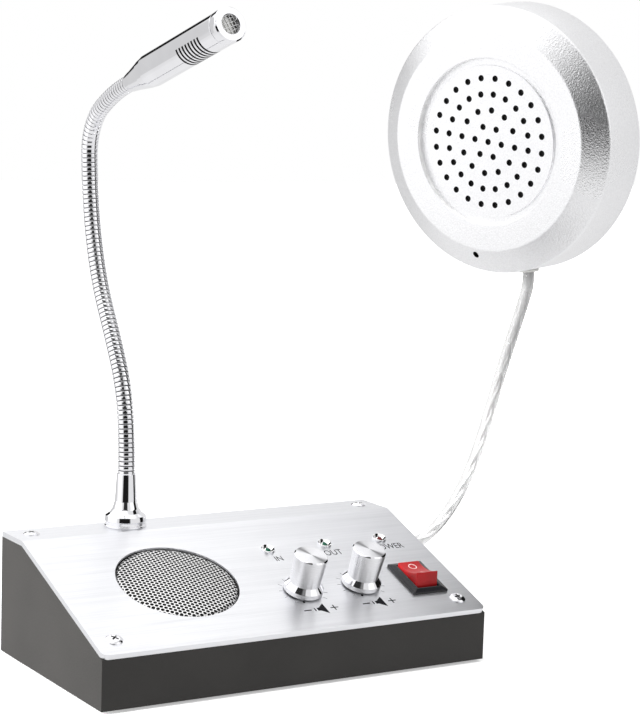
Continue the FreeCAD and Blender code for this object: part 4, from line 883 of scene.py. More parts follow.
@dataclass(frozen=True)
class PaleStrand(Finish):
    """Insulation of a conductor, paler further along its wrap."""

    def draw(self, sheet: NodeSheet) -> None:
        """Draws a dull skin that fades from its colour to near white.

        Args:
            sheet: The material's nodes.
        """
        grain = sheet.noise(sheet.position(), 2400.0, 2.0)
        near = sheet.mixed(sheet.ranged(grain, 0.0, 1.0), self.shade(0.9), self.shade(1.08))
        sheet.set(Base_Color=sheet.mixed(sheet.faded(0.038, 0.085), near, (0.93, 0.93, 0.93)), Roughness=0.5)


class Palette:
    """Every finish on the object."""

    casing = GrainyCoat(
        "charcoal_powder_coat", (0.024, 0.0225, 0.021), roughness=0.4, grain=0.5, edge=0.6, sheen=0.3,
    )
    rubber = GrainyCoat("black_rubber", (0.012, 0.012, 0.012), roughness=0.75)
    foam = GrainyCoat("closed_cell_foam", (0.02, 0.02, 0.022), roughness=0.9, grain=0.9, depth=0.25)
    paper = GrainyCoat("pressed_paper", (0.018, 0.018, 0.018), roughness=0.85, grain=0.8, depth=0.1)
    ferrite = GrainyCoat("magnet_ferrite", (0.05, 0.05, 0.052), roughness=0.6)
    # Black of the speaker basket, also used as painted shade in the screw recesses.
    basket_and_recess_shade = GrainyCoat("basket_black_and_recess_shade", (0.015, 0.015, 0.015), roughness=0.5)
    parts = GrainyCoat("component_black", (0.02, 0.02, 0.02), roughness=0.4)
    grommet = GrainyCoat("pale_rubber", (0.62, 0.62, 0.6), roughness=0.5)
    plug = GrainyCoat("moulded_plug", (0.02, 0.02, 0.02), roughness=0.38, grain=0.6)
    # Near-black: painted shade in holes, grooves, gaps and behind the grilles, painted dark reflections on
    # the lamps, and the disc behind the microphone's weave.
    shadow = GrainyCoat("painted_shade_and_dark_reflection", (0.004, 0.004, 0.004), roughness=0.8)
    plate = BrushedSheet("brushed_plate", (0.925, 0.93, 0.955), streak=0.06)
    zinc = FlakeSatin("zinc_plating", (0.62, 0.62, 0.6), roughness=0.35, flake=1.2, depth=0.03)
    brass = FlakeSatin("bare_brass", (0.72, 0.55, 0.26), roughness=0.3, flake=0.8)
    punched = FlakeSatin("punched_sheet", (0.97, 0.97, 0.97), roughness=0.3, flake=0.5, edge=0.0)
    satin = FlakeSatin("satin_aluminium", (0.97, 0.97, 0.985), roughness=0.29, flake=0.7, depth=0.36)
    knob = TurnedMetal("turned_aluminium_painted_rays", (0.95, 0.95, 0.97), roughness=0.29, anisotropy=0.93)
    chrome = Chrome("chrome_plating", (0.92, 0.92, 0.945))
    nickel = Chrome("nickel_plating", (0.78, 0.76, 0.7), roughness=0.12)
    green = GlossPlastic("green_lamp", (0.01, 0.075, 0.045), roughness=0.25, edge=0.0, coat=0.0, sheen=0.15)
    red = GlossPlastic("red_lamp", (0.1, 0.02, 0.02), roughness=0.25, edge=0.0, coat=0.0, sheen=0.15)
    rocker = GlossPlastic("red_plastic", (0.36, 0.01, 0.012), roughness=0.34, coat=0.0, sheen=0.25)
    black = GlossPlastic("black_plastic", (0.012, 0.012, 0.014), roughness=0.3, edge=0.3, coat=0.0, sheen=0.3)
    board = CircuitBoard("solder_mask", (0.01, 0.09, 0.03))
    ink = PrintedInk("dark_ink", (0.008, 0.008, 0.01))
    faint = PrintedInk("faint_ink", (0.3, 0.3, 0.32))
    mark = PrintedInk("white_mark", (0.75, 0.6, 0.58))
    # Painted highlight: flat white that stands in for bright reflections in the lamp dishes, on the lamps'
    # sides, on the microphone's weave and on the outer unit's opening wall.
    painted_highlight = GlossPlastic("painted_white_highlight", (0.9, 0.9, 0.9), roughness=0.3, edge=0.0)
    sheath = ClearSheath("clear_sheath", (0.68, 0.68, 0.68))
    strand = PaleStrand("pale_strands", (0.4, 0.4, 0.4))

    by_slot = {
        "casing_steel": casing, "plated_steel": zinc, "pad_rubber": rubber, "brushed_aluminium": plate,
        "grille_black": basket_and_recess_shade, "perforated_steel": punched, "cone_paper": paper, "magnet": ferrite,
        "chrome": chrome, "polished_aluminium": knob, "lamp_green": green, "lamp_red": red,
        "switch_black": black, "rocker_red": rocker, "brass_tab": brass, "board_green": board,
        "parts_black": parts, "outer_aluminium": satin, "grommet_rubber": grommet, "foam": foam,
        "cable_pvc": sheath, "plug_nickel": plug,
    }

    @classmethod
    def dress_solids(cls) -> None:
        """Gives every CAD node the finish of its material slot."""
        for part in frame["record"]["subparts"]:
            cls.by_slot[part["material_slot"]].dress(frame["nodes"][part["node"]])


# ---- surroundings ----


@dataclass(frozen=True)
class Patch:
    """A patch of the room that shiny surfaces mirror, with its place in degrees and its brightness."""

    heading: float
    half: float
    low: float
    high: float
    soft: float
    level: float


@dataclass
class Studio:
    """Camera, floor, lamps and the white room round the object."""

    eye: tuple[float, float, float] = (-0.38714, -0.67688, 0.21585)
    heading: float = -31.701
    tip: float = 82.91
    roll: float = 1.817
    lens: float = 103.27
    room: float = 0.62
    lamp_power: float = 13.0
    dim: float = 0.84
    bright: float = 1.35
    floor_side: float = 8000.0
    card: tuple[float, float] = (92.0, 310.0)
    card_lean: float = 72.0
    card_spot: tuple[float, float, float] = (150.0, -20.0, 175.0)
    lit_way: tuple[float, float, float] = (-0.44, 0.37, 0.82)
    patches: tuple[Patch, ...] = (
        Patch(110, 21, -26, 20, 2, 0.68),
        Patch(172, 22, -45, 45, 9, 1.2),
        Patch(-54, 16, 10, 44, 6, 1.25),
        Patch(83, 10, 6, 27, 1.5, 0.01),
        Patch(-6, 16, -18, 34, 3, 0.78),
        Patch(-120, 30, -14, 13, 4, 0.012),
        Patch(-118, 18, 9, 31, 4, 0.03),
        Patch(-125, 30, 31, 44, 2, 0.03),
    )

    def camera(self) -> None:
        """Sets up the camera."""
        data = bpy.data.cameras.new("viewpoint")
        data.lens = self.lens
        data.clip_start = 0.01
        viewpoint = bpy.data.objects.new("viewpoint", data)
        viewpoint.matrix_world = (
            Matrix.Translation(self.eye) @ turned_to(self.heading, "Z") @ turned_to(self.tip, "X")
            @ turned_to(self.roll, "Z")
        )
        bpy.context.scene.collection.objects.link(viewpoint)
        bpy.context.scene.camera = viewpoint

    def floor(self) -> None:
        """Lays a pale floor that keeps the object's shadow and stays white round it."""
        ground = Bench.flat("floor", self.floor_side, self.floor_side)
        bpy.ops.mesh.subdivide(number_cuts=3)
        bpy.ops.transform.translate(value=mm(0, 0, -0.2))
        bpy.ops.object.mode_set(mode="OBJECT")
        sheet = NodeSheet(bpy.data.materials.new("pale_floor"))
        rays = sheet.add("LightPath").outputs
        away = sheet.vector("LENGTH", sheet.add("TexCoord").outputs["Object"]).outputs["Value"]
        lift = sheet.ranged(away, 0.42, 1.0, 0.35, 1.1)
        dull = sheet.add("BsdfDiffuse", {"Color": (0.8, 0.8, 0.8, 1)}).outputs[0]
        bright = sheet.maths("MULTIPLY", rays["Is Camera Ray"], lift)
        glow = sheet.add("Emission", {"Strength": bright}).outputs[0]
        seen = sheet.add("AddShader", {0: dull, 1: glow}).outputs[0]
        near = sheet.add("Emission", {"Strength": 0.9}).outputs[0]
        far = sheet.add("BsdfTransparent").outputs[0]
        edge = sheet.ranged(away, 0.0, 1.0, 0.3, 0.38)
        mirrored = sheet.add("MixShader", {0: edge, 1: near, 2: far}).outputs[0]
        shine = sheet.maths("MAXIMUM", rays["Is Glossy Ray"], rays["Is Transmission Ray"])
        sheet.show(sheet.add("MixShader", {0: shine, 1: seen, 2: mirrored}).outputs[0])
        ground.data.materials.append(sheet.owner)

    def flag(self) -> None:
        """Stands a leaning black card at the desk unit's right, seen only in shiny surfaces on its left."""
        card = Bench.flat("black_card", *self.card)
        Bench.pick(lambda spot: spot.y > 0)
        bpy.ops.transform.translate(value=mm(self.card_lean, 0, 0))
        bpy.ops.object.mode_set(mode="OBJECT")
        Bench.seat(card, Matrix.Translation(mm(*self.card_spot)) @ turned_to(-90, "Z") @ turned_to(90, "X"))
        sheet = NodeSheet(bpy.data.materials.new("black_card"))
        unlit = sheet.add("Emission", {"Strength": 0.01}).outputs[0]
        clear = sheet.add("BsdfTransparent").outputs[0]
        behind = sheet.add("NewGeometry").outputs["Backfacing"]
        sheet.show(sheet.add("MixShader", {0: behind, 1: unlit, 2: clear}).outputs[0])
        card.data.materials.append(sheet.owner)
        card.visible_camera = card.visible_diffuse = card.visible_shadow = card.visible_transmission = False

    def white_room(self) -> None:
        """Makes the room: soft light for dull surfaces, white with dark openings for shiny ones."""
        world = bpy.data.worlds.new("white_room")
        world.cycles.sampling_method = "NONE"
        bpy.context.scene.world = world
        sheet = NodeSheet(world)
        way = sheet.add("TexCoord").outputs["Generated"]
        flat = sheet.vector("NORMALIZE", sheet.vector("MULTIPLY", way, (1, 1, 0)).outputs[0]).outputs[0]
        height = sheet.add("SeparateXYZ", {0: way}).outputs[2]
        upward = sheet.vector("DOT_PRODUCT", way, self.lit_way).outputs["Value"]
        grey = sheet.ranged(upward, self.dim, self.bright, 0.42, 0.62, "SMOOTHSTEP")
        for patch in self.patches:
            turn = math.radians(patch.heading)
            facing = sheet.vector("DOT_PRODUCT", flat, (math.cos(turn), math.sin(turn), 0)).outputs["Value"]
            share = self.step(sheet, facing, math.cos, patch.half, -patch.soft)
            for edge, soft in ((patch.low, patch.soft), (patch.high, -patch.soft)):
                share = sheet.maths("MULTIPLY", share, self.step(sheet, height, math.sin, edge, soft))
            grey = sheet.add("Mix", {0: share, 2: grey, 3: patch.level}, data_type="FLOAT").outputs[0]
        rays = sheet.add("LightPath").outputs
        plain, white, shiny = (
            sheet.add("Background", {"Color": (1, 1, 1, 1), "Strength": strength}).outputs[0]
            for strength in (self.room, 1.0, grey)
        )
        seen = sheet.maths("MAXIMUM", rays["Is Camera Ray"], rays["Is Transmission Ray"])
        dull = sheet.add("MixShader", {0: seen, 1: plain, 2: white}).outputs[0]
        sheet.show(sheet.add("MixShader", {0: rays["Is Glossy Ray"], 1: dull, 2: shiny}).outputs[0])

    def step(self, sheet: NodeSheet, item: Socket, function: Callable[[float], float], edge: float,
             soft: float) -> Socket:
        """A step from 0 to 1 at a patch's edge, as soft as the angle to each side; below 0 it falls."""
        limits = [function(math.radians(edge + side * soft)) for side in (-1, 1)]
        return sheet.ranged(item, 0.0, 1.0, *limits, "SMOOTHSTEP")

    def lamps(self) -> None:
        """Hangs a broad soft lamp above and a weaker one at the left."""
        for name, spot, size, power in (
            ("top_lamp", (-0.1, -0.1, 1.5), 1.3, self.lamp_power),
            ("left_lamp", (-1.3, 0.1, 0.55), 0.9, self.lamp_power * 3.6),
        ):
            data = bpy.data.lights.new(name, "AREA")
            data.size = size
            data.energy = power
            lamp = bpy.data.objects.new(name, data)
            lamp.matrix_world = (
                Matrix.Translation(spot) @ (-Vector(spot)).to_track_quat("-Z", "Y").to_matrix().to_4x4()
            )
            lamp.visible_glossy = False
            bpy.context.scene.collection.objects.link(lamp)

    def set_up(self) -> None:
        """Sets up the camera, the floor, the lamps and the room."""
        bpy.context.scene.view_settings.view_transform = "Standard"
        self.camera()
        self.floor()
        self.flag()
        self.white_room()
        self.lamps()


class SubAssembly:
    """What every sub-assembly does with a piece that is ready."""

    def settle(self, piece: Piece, finish: Finish, body: Body | str, slot: Slot, *nodes: str) -> Piece:
        """Dresses a piece, seats it on its body and reports it.

        Args:
            piece: The piece, in its place.
            finish: Its finish, unless it already has its own.
            body: The body that it rides on.
            slot: The record's material slot, which is not used.
            nodes: The CAD nodes that it stands for.

        Returns:
            The piece.
        """
        if not piece.material_slots:
            finish.dress(piece)
        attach(piece, body.value if isinstance(body, Body) else body)
        if nodes:
            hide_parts(*nodes)
        log.info("%s: %d faces", piece.name, len(piece.data.polygons))
        return piece


# ---- desk unit ----

SLOPE = Matrix.Translation(mm(0, -45.2, 19.6)) @ Matrix.Rotation(math.atan2(26.4, 71.6), 4, "X")
COLUMNS = {"incoming": 12.7, "outgoing": 38.9, "power": 65.1}


def on_slope(across: float, along: float, rise: float = 2.0) -> Matrix:
    """A place right of the middle, up the slope and over the underside of the 2 mm plate, Z out of it."""
    return SLOPE @ Matrix.Translation(mm(across, along, rise))


@dataclass
class DeskGrille(SubAssembly):
    """Punched and domed sheet over the desk unit's speaker."""

    across: float = -34.0
    along: float = 40.0
    rim: float = 23.45
    shoulder: float = 0.6
    crown: float = 2.9
    sheet: float = 0.6
    flange: float = 27.1
    punched: float = 23.1
    pitch: float = 1.78
    hole: float = 0.74
    thin: float = 0.28
    roll: float = 1.0
    # A near-black ring round the dome's rim: a seal, and painted shade in the gap between the plate and the
    # dome.
    seal_and_shade: float = 0.34
    seal_and_shade_height: float = 1.05
    row_angle: float = 24.4
    # A near-black backing under the punched sheet, painted shade seen through the holes: its radius and its
    # gap below the sheet.
    shade_backing: float = 22.9
    shade_backing_gap: float = 0.35
    trim_sides: int = 72

    def height(self, radius: float) -> float:
        """Height of the dome's top at a distance from its middle, with its edge rolled down.

        Args:
            radius: The distance, in millimetres.

        Returns:
            The height, in millimetres.
        """
        rise = self.crown - self.shoulder - self.roll
        reach = (self.rim**2 + rise**2) / (2 * rise)
        share = max(0.0, (radius - self.rim + 2 * self.roll) / (2 * self.roll))
        fall = self.roll * (1 - math.sqrt(max(0.0, 1 - share**2)))
        return self.crown - reach + math.sqrt(reach**2 - radius**2) - fall

    def cell(self) -> Piece:
        """One punched hole in its six-sided bit of sheet.

        Returns:
            The flat cell about the origin, turned as the rows are.
        """
        Bench.clear()
        bpy.ops.mesh.primitive_circle_add(vertices=12, radius=self.hole * MM)
        piece = Bench.named("grille_sheet")
        Bench.edit(piece)
        wide = self.pitch / 2 / self.hole
        bpy.ops.mesh.extrude_edges_move(TRANSFORM_OT_translate={"value": (0, 0, 0)})
        bpy.ops.transform.resize(value=(wide, wide, 1), center_override=(0, 0, 0))
        inner = self.pitch * 0.42 * MM

        def at_corner(spot: Vector) -> bool:
            """Whether a vertex lies at one of the six corners."""
            turn = math.degrees(math.atan2(spot.y, spot.x)) % 60
            return spot.length > inner and abs(turn - 30) < 5

        Bench.pick(at_corner)
        corner = 2 / math.sqrt(3)
        bpy.ops.transform.resize(value=(corner, corner, 1), center_override=(0, 0, 0))
        bpy.ops.object.mode_set(mode="OBJECT")
        return Bench.seat(piece, turned_to(self.row_angle, "Z"))

    def punched_sheet(self) -> Piece:
        """Rows of cells, trimmed to a round and bulged.

        Returns:
            The domed sheet with its holes, about Z.
        """
        piece = self.cell()
        reach = math.ceil(self.punched / (self.pitch * math.sin(math.radians(60)))) + 1
        for angle in (self.row_angle, self.row_angle + 60):
            shift = turned_to(angle, "Z") @ mm(self.pitch, 0, 0)
            Bench.edit(piece)
            bpy.ops.transform.translate(value=shift * -reach)
            bpy.ops.object.mode_set(mode="OBJECT")
            Bench.apply(
                piece, "ARRAY", count=2 * reach + 1, use_relative_offset=False, use_constant_offset=True,
                constant_offset_displace=shift, use_merge_vertices=True, merge_threshold=0.01 * MM,
            )
        Bench.edit(piece)
        Bench.merge(0.01)
        for step in range(self.trim_sides):
            angle = math.tau * step / self.trim_sides
            way = Vector((math.cos(angle), math.sin(angle), 0))
            bpy.ops.mesh.select_all(action="SELECT")
            bpy.ops.mesh.bisect(plane_co=way * self.punched * MM, plane_no=way, clear_outer=True)
        bpy.ops.mesh.select_all(action="SELECT")
        bpy.ops.mesh.normals_make_consistent(inside=False)
        bpy.ops.object.mode_set(mode="OBJECT")
        if sum(face.normal.z for face in piece.data.polygons) < 0:
            piece.data.flip_normals()
        stations = [self.rim * step / 24 for step in range(25)]
        former = Bench.turn("former", [(radius, self.height(radius)) for radius in stations])
        Bench.apply(
            piece, "SHRINKWRAP", target=former, wrap_method="PROJECT", use_project_z=True,
            use_negative_direction=True, use_positive_direction=True,
        )
        Bench.drop(former)
        Bench.apply(piece, "SOLIDIFY", thickness=self.thin * MM, offset=-1)
        # The walls of the holes get painted shade.
        return Bench.zone(piece, (Palette.punched, Palette.shadow), lambda spot, way: int(abs(way.z) < 0.6))

    def wall(self) -> Piece:
        """The plain rim round the punched field, its side and its flange under the plate.

        Returns:
            The rim, about Z.
        """
        top = self.height(self.punched)
        outline = eased([
            (self.punched, top - self.sheet, 0), (self.punched, top, 0), (self.rim, self.shoulder, 0.5),
            (self.rim, 0, 0), (self.flange, 0, 0), (self.flange, -self.sheet, 0),
            (self.rim - self.sheet, -self.sheet, 0), (self.rim - self.sheet, self.shoulder - self.sheet, 0),
        ])
        piece = Bench.turn("grille_wall", outline, 120, ring=True)
        piece.data.materials.append(Palette.punched.material())
        return piece

    def build(self) -> None:
        """Builds the grille and seats it under the plate."""
        place = on_slope(self.across, self.along, 0.0)
        grille = Bench.join("desk_grille", [self.punched_sheet(), self.wall()])
        Bench.smooth(Bench.seat(grille, place), 40)
        self.settle(grille, Palette.punched, Body.DESK, Slot.GRILLE, "speaker_grille")
        # The seal ring round the rim is near-black, partly painted shade in the gap.
        outline = [(self.rim, 0), (self.rim + self.seal_and_shade, 0), (self.rim + self.seal_and_shade, self.seal_and_shade_height),
                   (self.rim, self.seal_and_shade_height)]
        seal_and_shade = Bench.seat(Bench.turn("grille_seal_and_shade", outline, 96, ring=True), place)
        self.settle(seal_and_shade, Palette.shadow, Body.DESK, Slot.BLACK)
        # The near-black backing under the sheet is painted shade seen through the holes.
        stations = [self.shade_backing * step / 16 for step in range(17)]
        top = [(radius, self.height(radius) - self.shade_backing_gap) for radius in stations]
        foot = [(radius, height - 0.2) for radius, height in reversed(top)]
        shade_backing = Bench.seat(Bench.turn("grille_shade_backing", top + foot, 64), place)
        self.settle(Bench.smooth(shade_backing, 40), Palette.shadow, Body.DESK, Slot.BLACK)


@dataclass
class FaceScrews(SubAssembly):
    """Four domed screws with a cross recess that hold the face plate."""

    side: float = 74.4
    front: float = 8.6
    back: float = 35.8
    head: float = 3.2
    rise: float = 1.1
    shank: float = 1.7
    slot: float = 1.0
    slot_reach: float = 2.3
    slot_height: float = 1.6
    slot_taper: tuple[float, float, float] = (0.45, 0.55, 1.0)
    band: float = 48.0

    def screw(self) -> Piece:
        """One screw, standing with the underside of its head at z = 0.

        Returns:
            The screw, about Z.
        """
        outline = eased([
            (0, -8, 0), (self.shank, -8, 0), (self.shank, 0, 0), (self.head, 0, 0), (self.head, 0.25, 0.1),
            (self.head * 0.72, self.rise * 0.86, 1.5), (0, self.rise, 0),
        ])
        piece = Bench.turn("face_screw", outline, 48)
        for angle in (0, 90):
            blade = Bench.block("blade", 2 * self.slot_reach, self.slot, self.slot_height)
            Bench.pick(lambda spot: spot.z < 0)
            bpy.ops.transform.resize(value=self.slot_taper, center_override=mm(0, 0, -self.slot_height / 2))
            bpy.ops.object.mode_set(mode="OBJECT")
            Bench.seat(blade, Matrix.Translation(mm(0, 0, self.rise + 0.05)) @ turned_to(angle, "Z"))
            Bench.carve(piece, blade)

        def recess(spot: Vector, way: Vector) -> int:
            """1 for the faces of the cross recess, which get painted shade.

            Args:
                spot: The middle of a face, in millimetres.
                way: The normal of the face.

            Returns:
                The number of the finish that the face gets.
            """
            steep = abs(way.z) < 0.6 and spot.xy.length < self.slot_reach + 0.1
            sunk = spot.z < self.rise * 0.6 and way.z > 0.6 and spot.xy.length < self.slot_reach
            return int(spot.z > 0.05 and (steep or sunk))

        return Bench.smooth(Bench.zone(piece, (Palette.chrome, Palette.basket_and_recess_shade), recess), 35)

    def build(self) -> None:
        """Sets the four screws, each turned its own way."""
        model = self.screw()
        sites = (
            ("front_left", on_slope(-self.side, self.front), 40),
            ("front_right", on_slope(self.side, self.front), 12),
            ("back_left", Matrix.Translation(mm(-self.side, self.back, self.band)), 25),
            ("back_right", Matrix.Translation(mm(self.side, self.back, self.band)), 65),
        )
        for name, place, turn in sites:
            piece = Bench.copy(model, "face_screw_" + name, place @ turned_to(turn, "Z"))
            self.settle(piece, Palette.chrome, Body.DESK, Slot.CHROME, "face_plate_screws")
        Bench.drop(model)


@dataclass
class VolumeKnobs(SubAssembly):
    """Two turned knobs with a flared foot, on 6 mm shafts."""

    along: float = 25.0
    lift: float = 0.6
    collar: float = 7.8
    collar_height: float = 1.8
    waist: float = 6.0
    waist_height: float = 3.75
    crown: float = 6.6
    height: float = 15.6
    edge: float = 0.5
    cavity: float = 5.2
    cavity_height: float = 3.2
    bore: float = 3.02

    def knob(self) -> Piece:
        """One knob, standing on z = 0.

        Returns:
            The knob, about Z.
        """
        outline = eased([
            (0, 13.0, 0), (self.bore, 13.0, 0), (self.bore, self.cavity_height, 0),
            (self.cavity, self.cavity_height, 0), (self.cavity, 0, 0), (self.collar, 0, 0.25),
            (self.collar, self.collar_height, 0.2), (self.waist, self.waist_height, 0.2),
            (self.crown, self.height - self.edge, 0.05), (self.crown - self.edge, self.height, 0.05),
            (0, self.height, 0),
        ])

        def bright(spot: Vector, way: Vector) -> int:
            """1 for the cone over the collar and the chamfer at the top, which are polished.

            Args:
                spot: The middle of a face, in millimetres.
                way: The normal of the face, which is not used.

            Returns:
                The number of the finish that the face gets.
            """
            cone = self.collar_height < spot.z < self.waist_height and spot.xy.length > self.cavity + 0.2
            chamfer = self.height - self.edge - 0.05 < spot.z < self.height - 0.02
            return int(cone or chamfer)

        piece = Bench.wrap(Bench.turn("knob", outline, 128))
        return Bench.smooth(Bench.zone(piece, (Palette.knob, Palette.chrome), bright), 24)

    def build(self) -> None:
        """Sets both knobs."""
        model = self.knob()
        for name, body in (("incoming", Body.INCOMING), ("outgoing", Body.OUTGOING)):
            place = on_slope(COLUMNS[name], self.along, 2.0 + self.lift)
            piece = Bench.copy(model, name + "_knob_turned", place)
            self.settle(piece, Palette.knob, body, Slot.KNOB, name + "_volume_knob")
        Bench.drop(model)


@dataclass
class IndicatorLamps(SubAssembly):
    """Three small lamps, each in a bright dished bezel."""

    along: float = 54.5
    flange: float = 2.9
    barrel: float = 2.4
    height: float = 0.95
    lip: float = 0.2
    length: float = 6.0
    seat_depth: float = 0.9
    lamp: float = 1.5
    gap: float = 0.05
    lamp_length: float = 5.5
    shoulder: float = 0.62
    # Painted dark reflections in the dish: how far they are turned, where the side marks begin, and the
    # half-width of the mark at the back.
    glint: float = 18.0
    glint_from: float = 72.0
    stem: float = 0.55
    # Where the lamp's painted black back and painted white sides narrow and spread.
    waist: float = 0.45
    waist_half: float = 0.5
    spread_front: float = 0.95
    spread_back: float = 0.1

    def bezel(self) -> Piece:
        """One bezel, standing on the plate at z = 0.

        Returns:
            The bezel, about Z.
        """
        bore = self.lamp + self.gap
        outline = eased([
            (bore, -self.length, 0), (self.barrel, -self.length, 0), (self.barrel, 0, 0), (self.flange, 0, 0),
            (self.flange - self.lip, self.height, 0.12), (self.flange - 2 * self.lip, self.height, 0.1),
            (bore + 0.6, 0.1, 0.6), (bore, -self.seat_depth, 0.1),
        ])

        def dish(spot: Vector, way: Vector) -> int:
            """2 for the dish in white, a painted highlight, and 1 for its painted dark reflections at the
            back and at both sides.

            Args:
                spot: The middle of a face, in millimetres.
                way: The normal of the face, which is not used.

            Returns:
                The number of the finish that the face gets.
            """
            inside = bore - 0.1 < spot.xy.length < self.flange - self.lip and spot.z > -self.seat_depth
            turn = (math.degrees(math.atan2(spot.y, spot.x)) + self.glint) % 180 - 90
            dark = abs(turn) > self.glint_from or (spot.y > 0 and abs(spot.x) < self.stem)
            return (1 if dark else 2) if inside else 0

        piece = Bench.turn("bezel", outline, 72, ring=True)
        return Bench.smooth(Bench.zone(piece, (Palette.chrome, Palette.shadow, Palette.painted_highlight), dish), 30)

    def bulb(self) -> Piece:
        """One lamp with its round top.

        Returns:
            The lamp, about Z.
        """
        foot = [(0.0, -self.lamp_length), (self.lamp, -self.lamp_length)]
        angles = [math.radians(angle) for angle in range(0, 91, 9)]
        top = [(self.lamp * math.cos(angle), self.lamp * math.sin(angle) - self.shoulder) for angle in angles]
        return Bench.smooth(Bench.turn("bulb", foot + top, 72), 30)

    def half(self, spot: Vector, way: Vector) -> int:
        """0 for a lamp's coloured front, 1 for its back in black, a painted dark reflection, both narrow in
        the middle, 2 for its sides in white, a painted highlight.

        Args:
            spot: The middle of a face, in millimetres.
            way: The normal of the face, which is not used.

        Returns:
            The number of the finish that the face gets.
        """
        back = spot.y > self.waist
        spread = self.spread_back if back else self.spread_front
        return 2 if abs(spot.x) > self.waist_half + spread * abs(spot.y - self.waist) else int(back)

    def build(self) -> None:
        """Sets the bezels and the lamps."""
        bezel, bulb = self.bezel(), self.bulb()
        for name, finish, slot in (
            ("incoming", Palette.green, Slot.GREEN), ("outgoing", Palette.green, Slot.GREEN),
            ("power", Palette.red, Slot.RED),
        ):
            place = on_slope(COLUMNS[name], self.along)
            ring = Bench.copy(bezel, name + "_bezel", place)
            self.settle(ring, Palette.chrome, Body.DESK, Slot.CHROME, "lamp_bezels")
            light = Bench.copy(bulb, name + "_bulb", Matrix.Identity(4))
            Bench.seat(Bench.zone(light, (finish, Palette.shadow, Palette.painted_highlight), self.half), place)
            self.settle(light, finish, Body.DESK, slot, name + "_lamp")
        Bench.drop(bezel, bulb)


@dataclass
class PowerRocker(SubAssembly):
    """Rocker of the power switch, with its ring mark and its line mark."""

    along: float = 24.3
    width: float = 9.8
    end_half: float = 6.9
    belly_half: float = 7.3
    end_height: float = 6.0
    dip_height: float = 4.4
    belly_drop: float = 2.2
    keel_drop: float = 4.2
    pivot_depth: float = 1.0
    rest_tilt: float = -15.0
    slot_half: float = 8.3
    rim_size: tuple[float, float, float] = (15.6, 21.1, 1.0)
    rim_rise: float = 0.62
    rim_slope: float = 1.9
    mark_along: float = 3.6

    def dip(self, along: float) -> float:
        """Height of the hollow top at a distance from the pivot.

        Args:
            along: The distance, in millimetres.

        Returns:
            The height, in millimetres.
        """
        rise = self.end_height - self.dip_height
        reach = (self.end_half**2 + rise**2) / (2 * rise)
        return self.dip_height + reach - math.sqrt(reach**2 - along**2)

    def paddle(self) -> Piece:
        """The red paddle, with its pivot along X at the origin.

        Returns:
            The paddle.
        """
        top = [(-self.end_half + self.end_half * step / 8, 0.0) for step in range(17)]
        outline = [(along, self.dip(along)) for along, _ in reversed(top)]
        outline += [
            (-self.belly_half, 0), (-self.end_half, -self.belly_drop), (0, -self.keel_drop),
            (self.end_half, -self.belly_drop), (self.belly_half, 0),
        ]
        piece = Bench.draw_out("rocker_paddle", outline, self.width)
        upright = turned_to(90, "Z") @ turned_to(90, "X")
        Bench.seat(piece, Matrix.Translation(mm(-self.width / 2, 0, 0)) @ upright)
        Bench.soften(piece, 0.35, 3, 40)
        return Bench.smooth(piece, 35)

    def rim(self) -> Piece:
        """The raised rim of the switch's frame, with sloping sides, standing on the plate at z = 0.

        Returns:
            The rim with its slot.
        """
        wide, deep, tall = self.rim_size
        piece = Bench.block("switch_rim", wide, deep, tall)
        bpy.ops.transform.translate(value=mm(0, 0, tall / 2))
        Bench.pick(lambda spot: spot.z > 0.5 * tall * MM)
        bpy.ops.mesh.extrude_region_move(TRANSFORM_OT_translate={"value": mm(0, 0, self.rim_rise)})
        slope = [(size - 2 * self.rim_slope) / size for size in (wide, deep)]
        bpy.ops.transform.resize(value=(*slope, 1), center_override=(0, 0, 0))
        bpy.ops.object.mode_set(mode="OBJECT")
        Bench.carve(piece, Bench.block("slot", self.width + 0.5, 2 * self.slot_half, 8))
        return piece

    def mark(self, name: str, flat: Piece, along: float) -> Piece:
        """Lays a flat mark on the hollow top at a distance from the pivot.

        Args:
            name: The mark's name.
            flat: The mark, lying at z = 0 about the origin.
            along: Where its middle goes.

        Returns:
            The mark, a hair above the paddle.
        """
        Bench.edit(flat)
        bpy.ops.mesh.subdivide(number_cuts=1)
        bpy.ops.object.mode_set(mode="OBJECT")
        flat.name = name
        Bench.seat(flat, Matrix.Translation(mm(0, along, 0)))
        for vertex in flat.data.vertices:
            vertex.co.z += self.dip(vertex.co.y / MM) * MM
        return flat

    def build(self) -> None:
        """Builds the paddle with its marks, tilted as they rest, and the rim of the frame."""
        pivot = on_slope(COLUMNS["power"], self.along, 2.0 - self.pivot_depth)
        place = pivot @ turned_to(self.rest_tilt, "X")
        paddle = Bench.seat(self.paddle(), place)
        self.settle(paddle, Palette.rocker, Body.ROCKER, Slot.ROCKER, "power_switch_rocker")
        paddle.visible_glossy = False
        rim = Bench.seat(self.rim(), on_slope(COLUMNS["power"], self.along))
        self.settle(rim, Palette.black, Body.DESK, Slot.BLACK)
        ring = Bench.turn("ring", [(1.4, -0.02), (1.4, 0.04), (1.75, 0.04), (1.75, -0.02)], 40, ring=True)
        line = Bench.draw_out("line", [(-0.22, -1.4), (0.22, -1.4), (0.22, 1.4), (-0.22, 1.4)], 0.05)
        for name, flat, along in (
            ("rocker_ring_mark", ring, self.mark_along), ("rocker_line_mark", line, -self.mark_along),
        ):
            piece = Bench.seat(self.mark(name, flat, along), place)
            self.settle(piece, Palette.mark, Body.ROCKER, Slot.ROCKER)


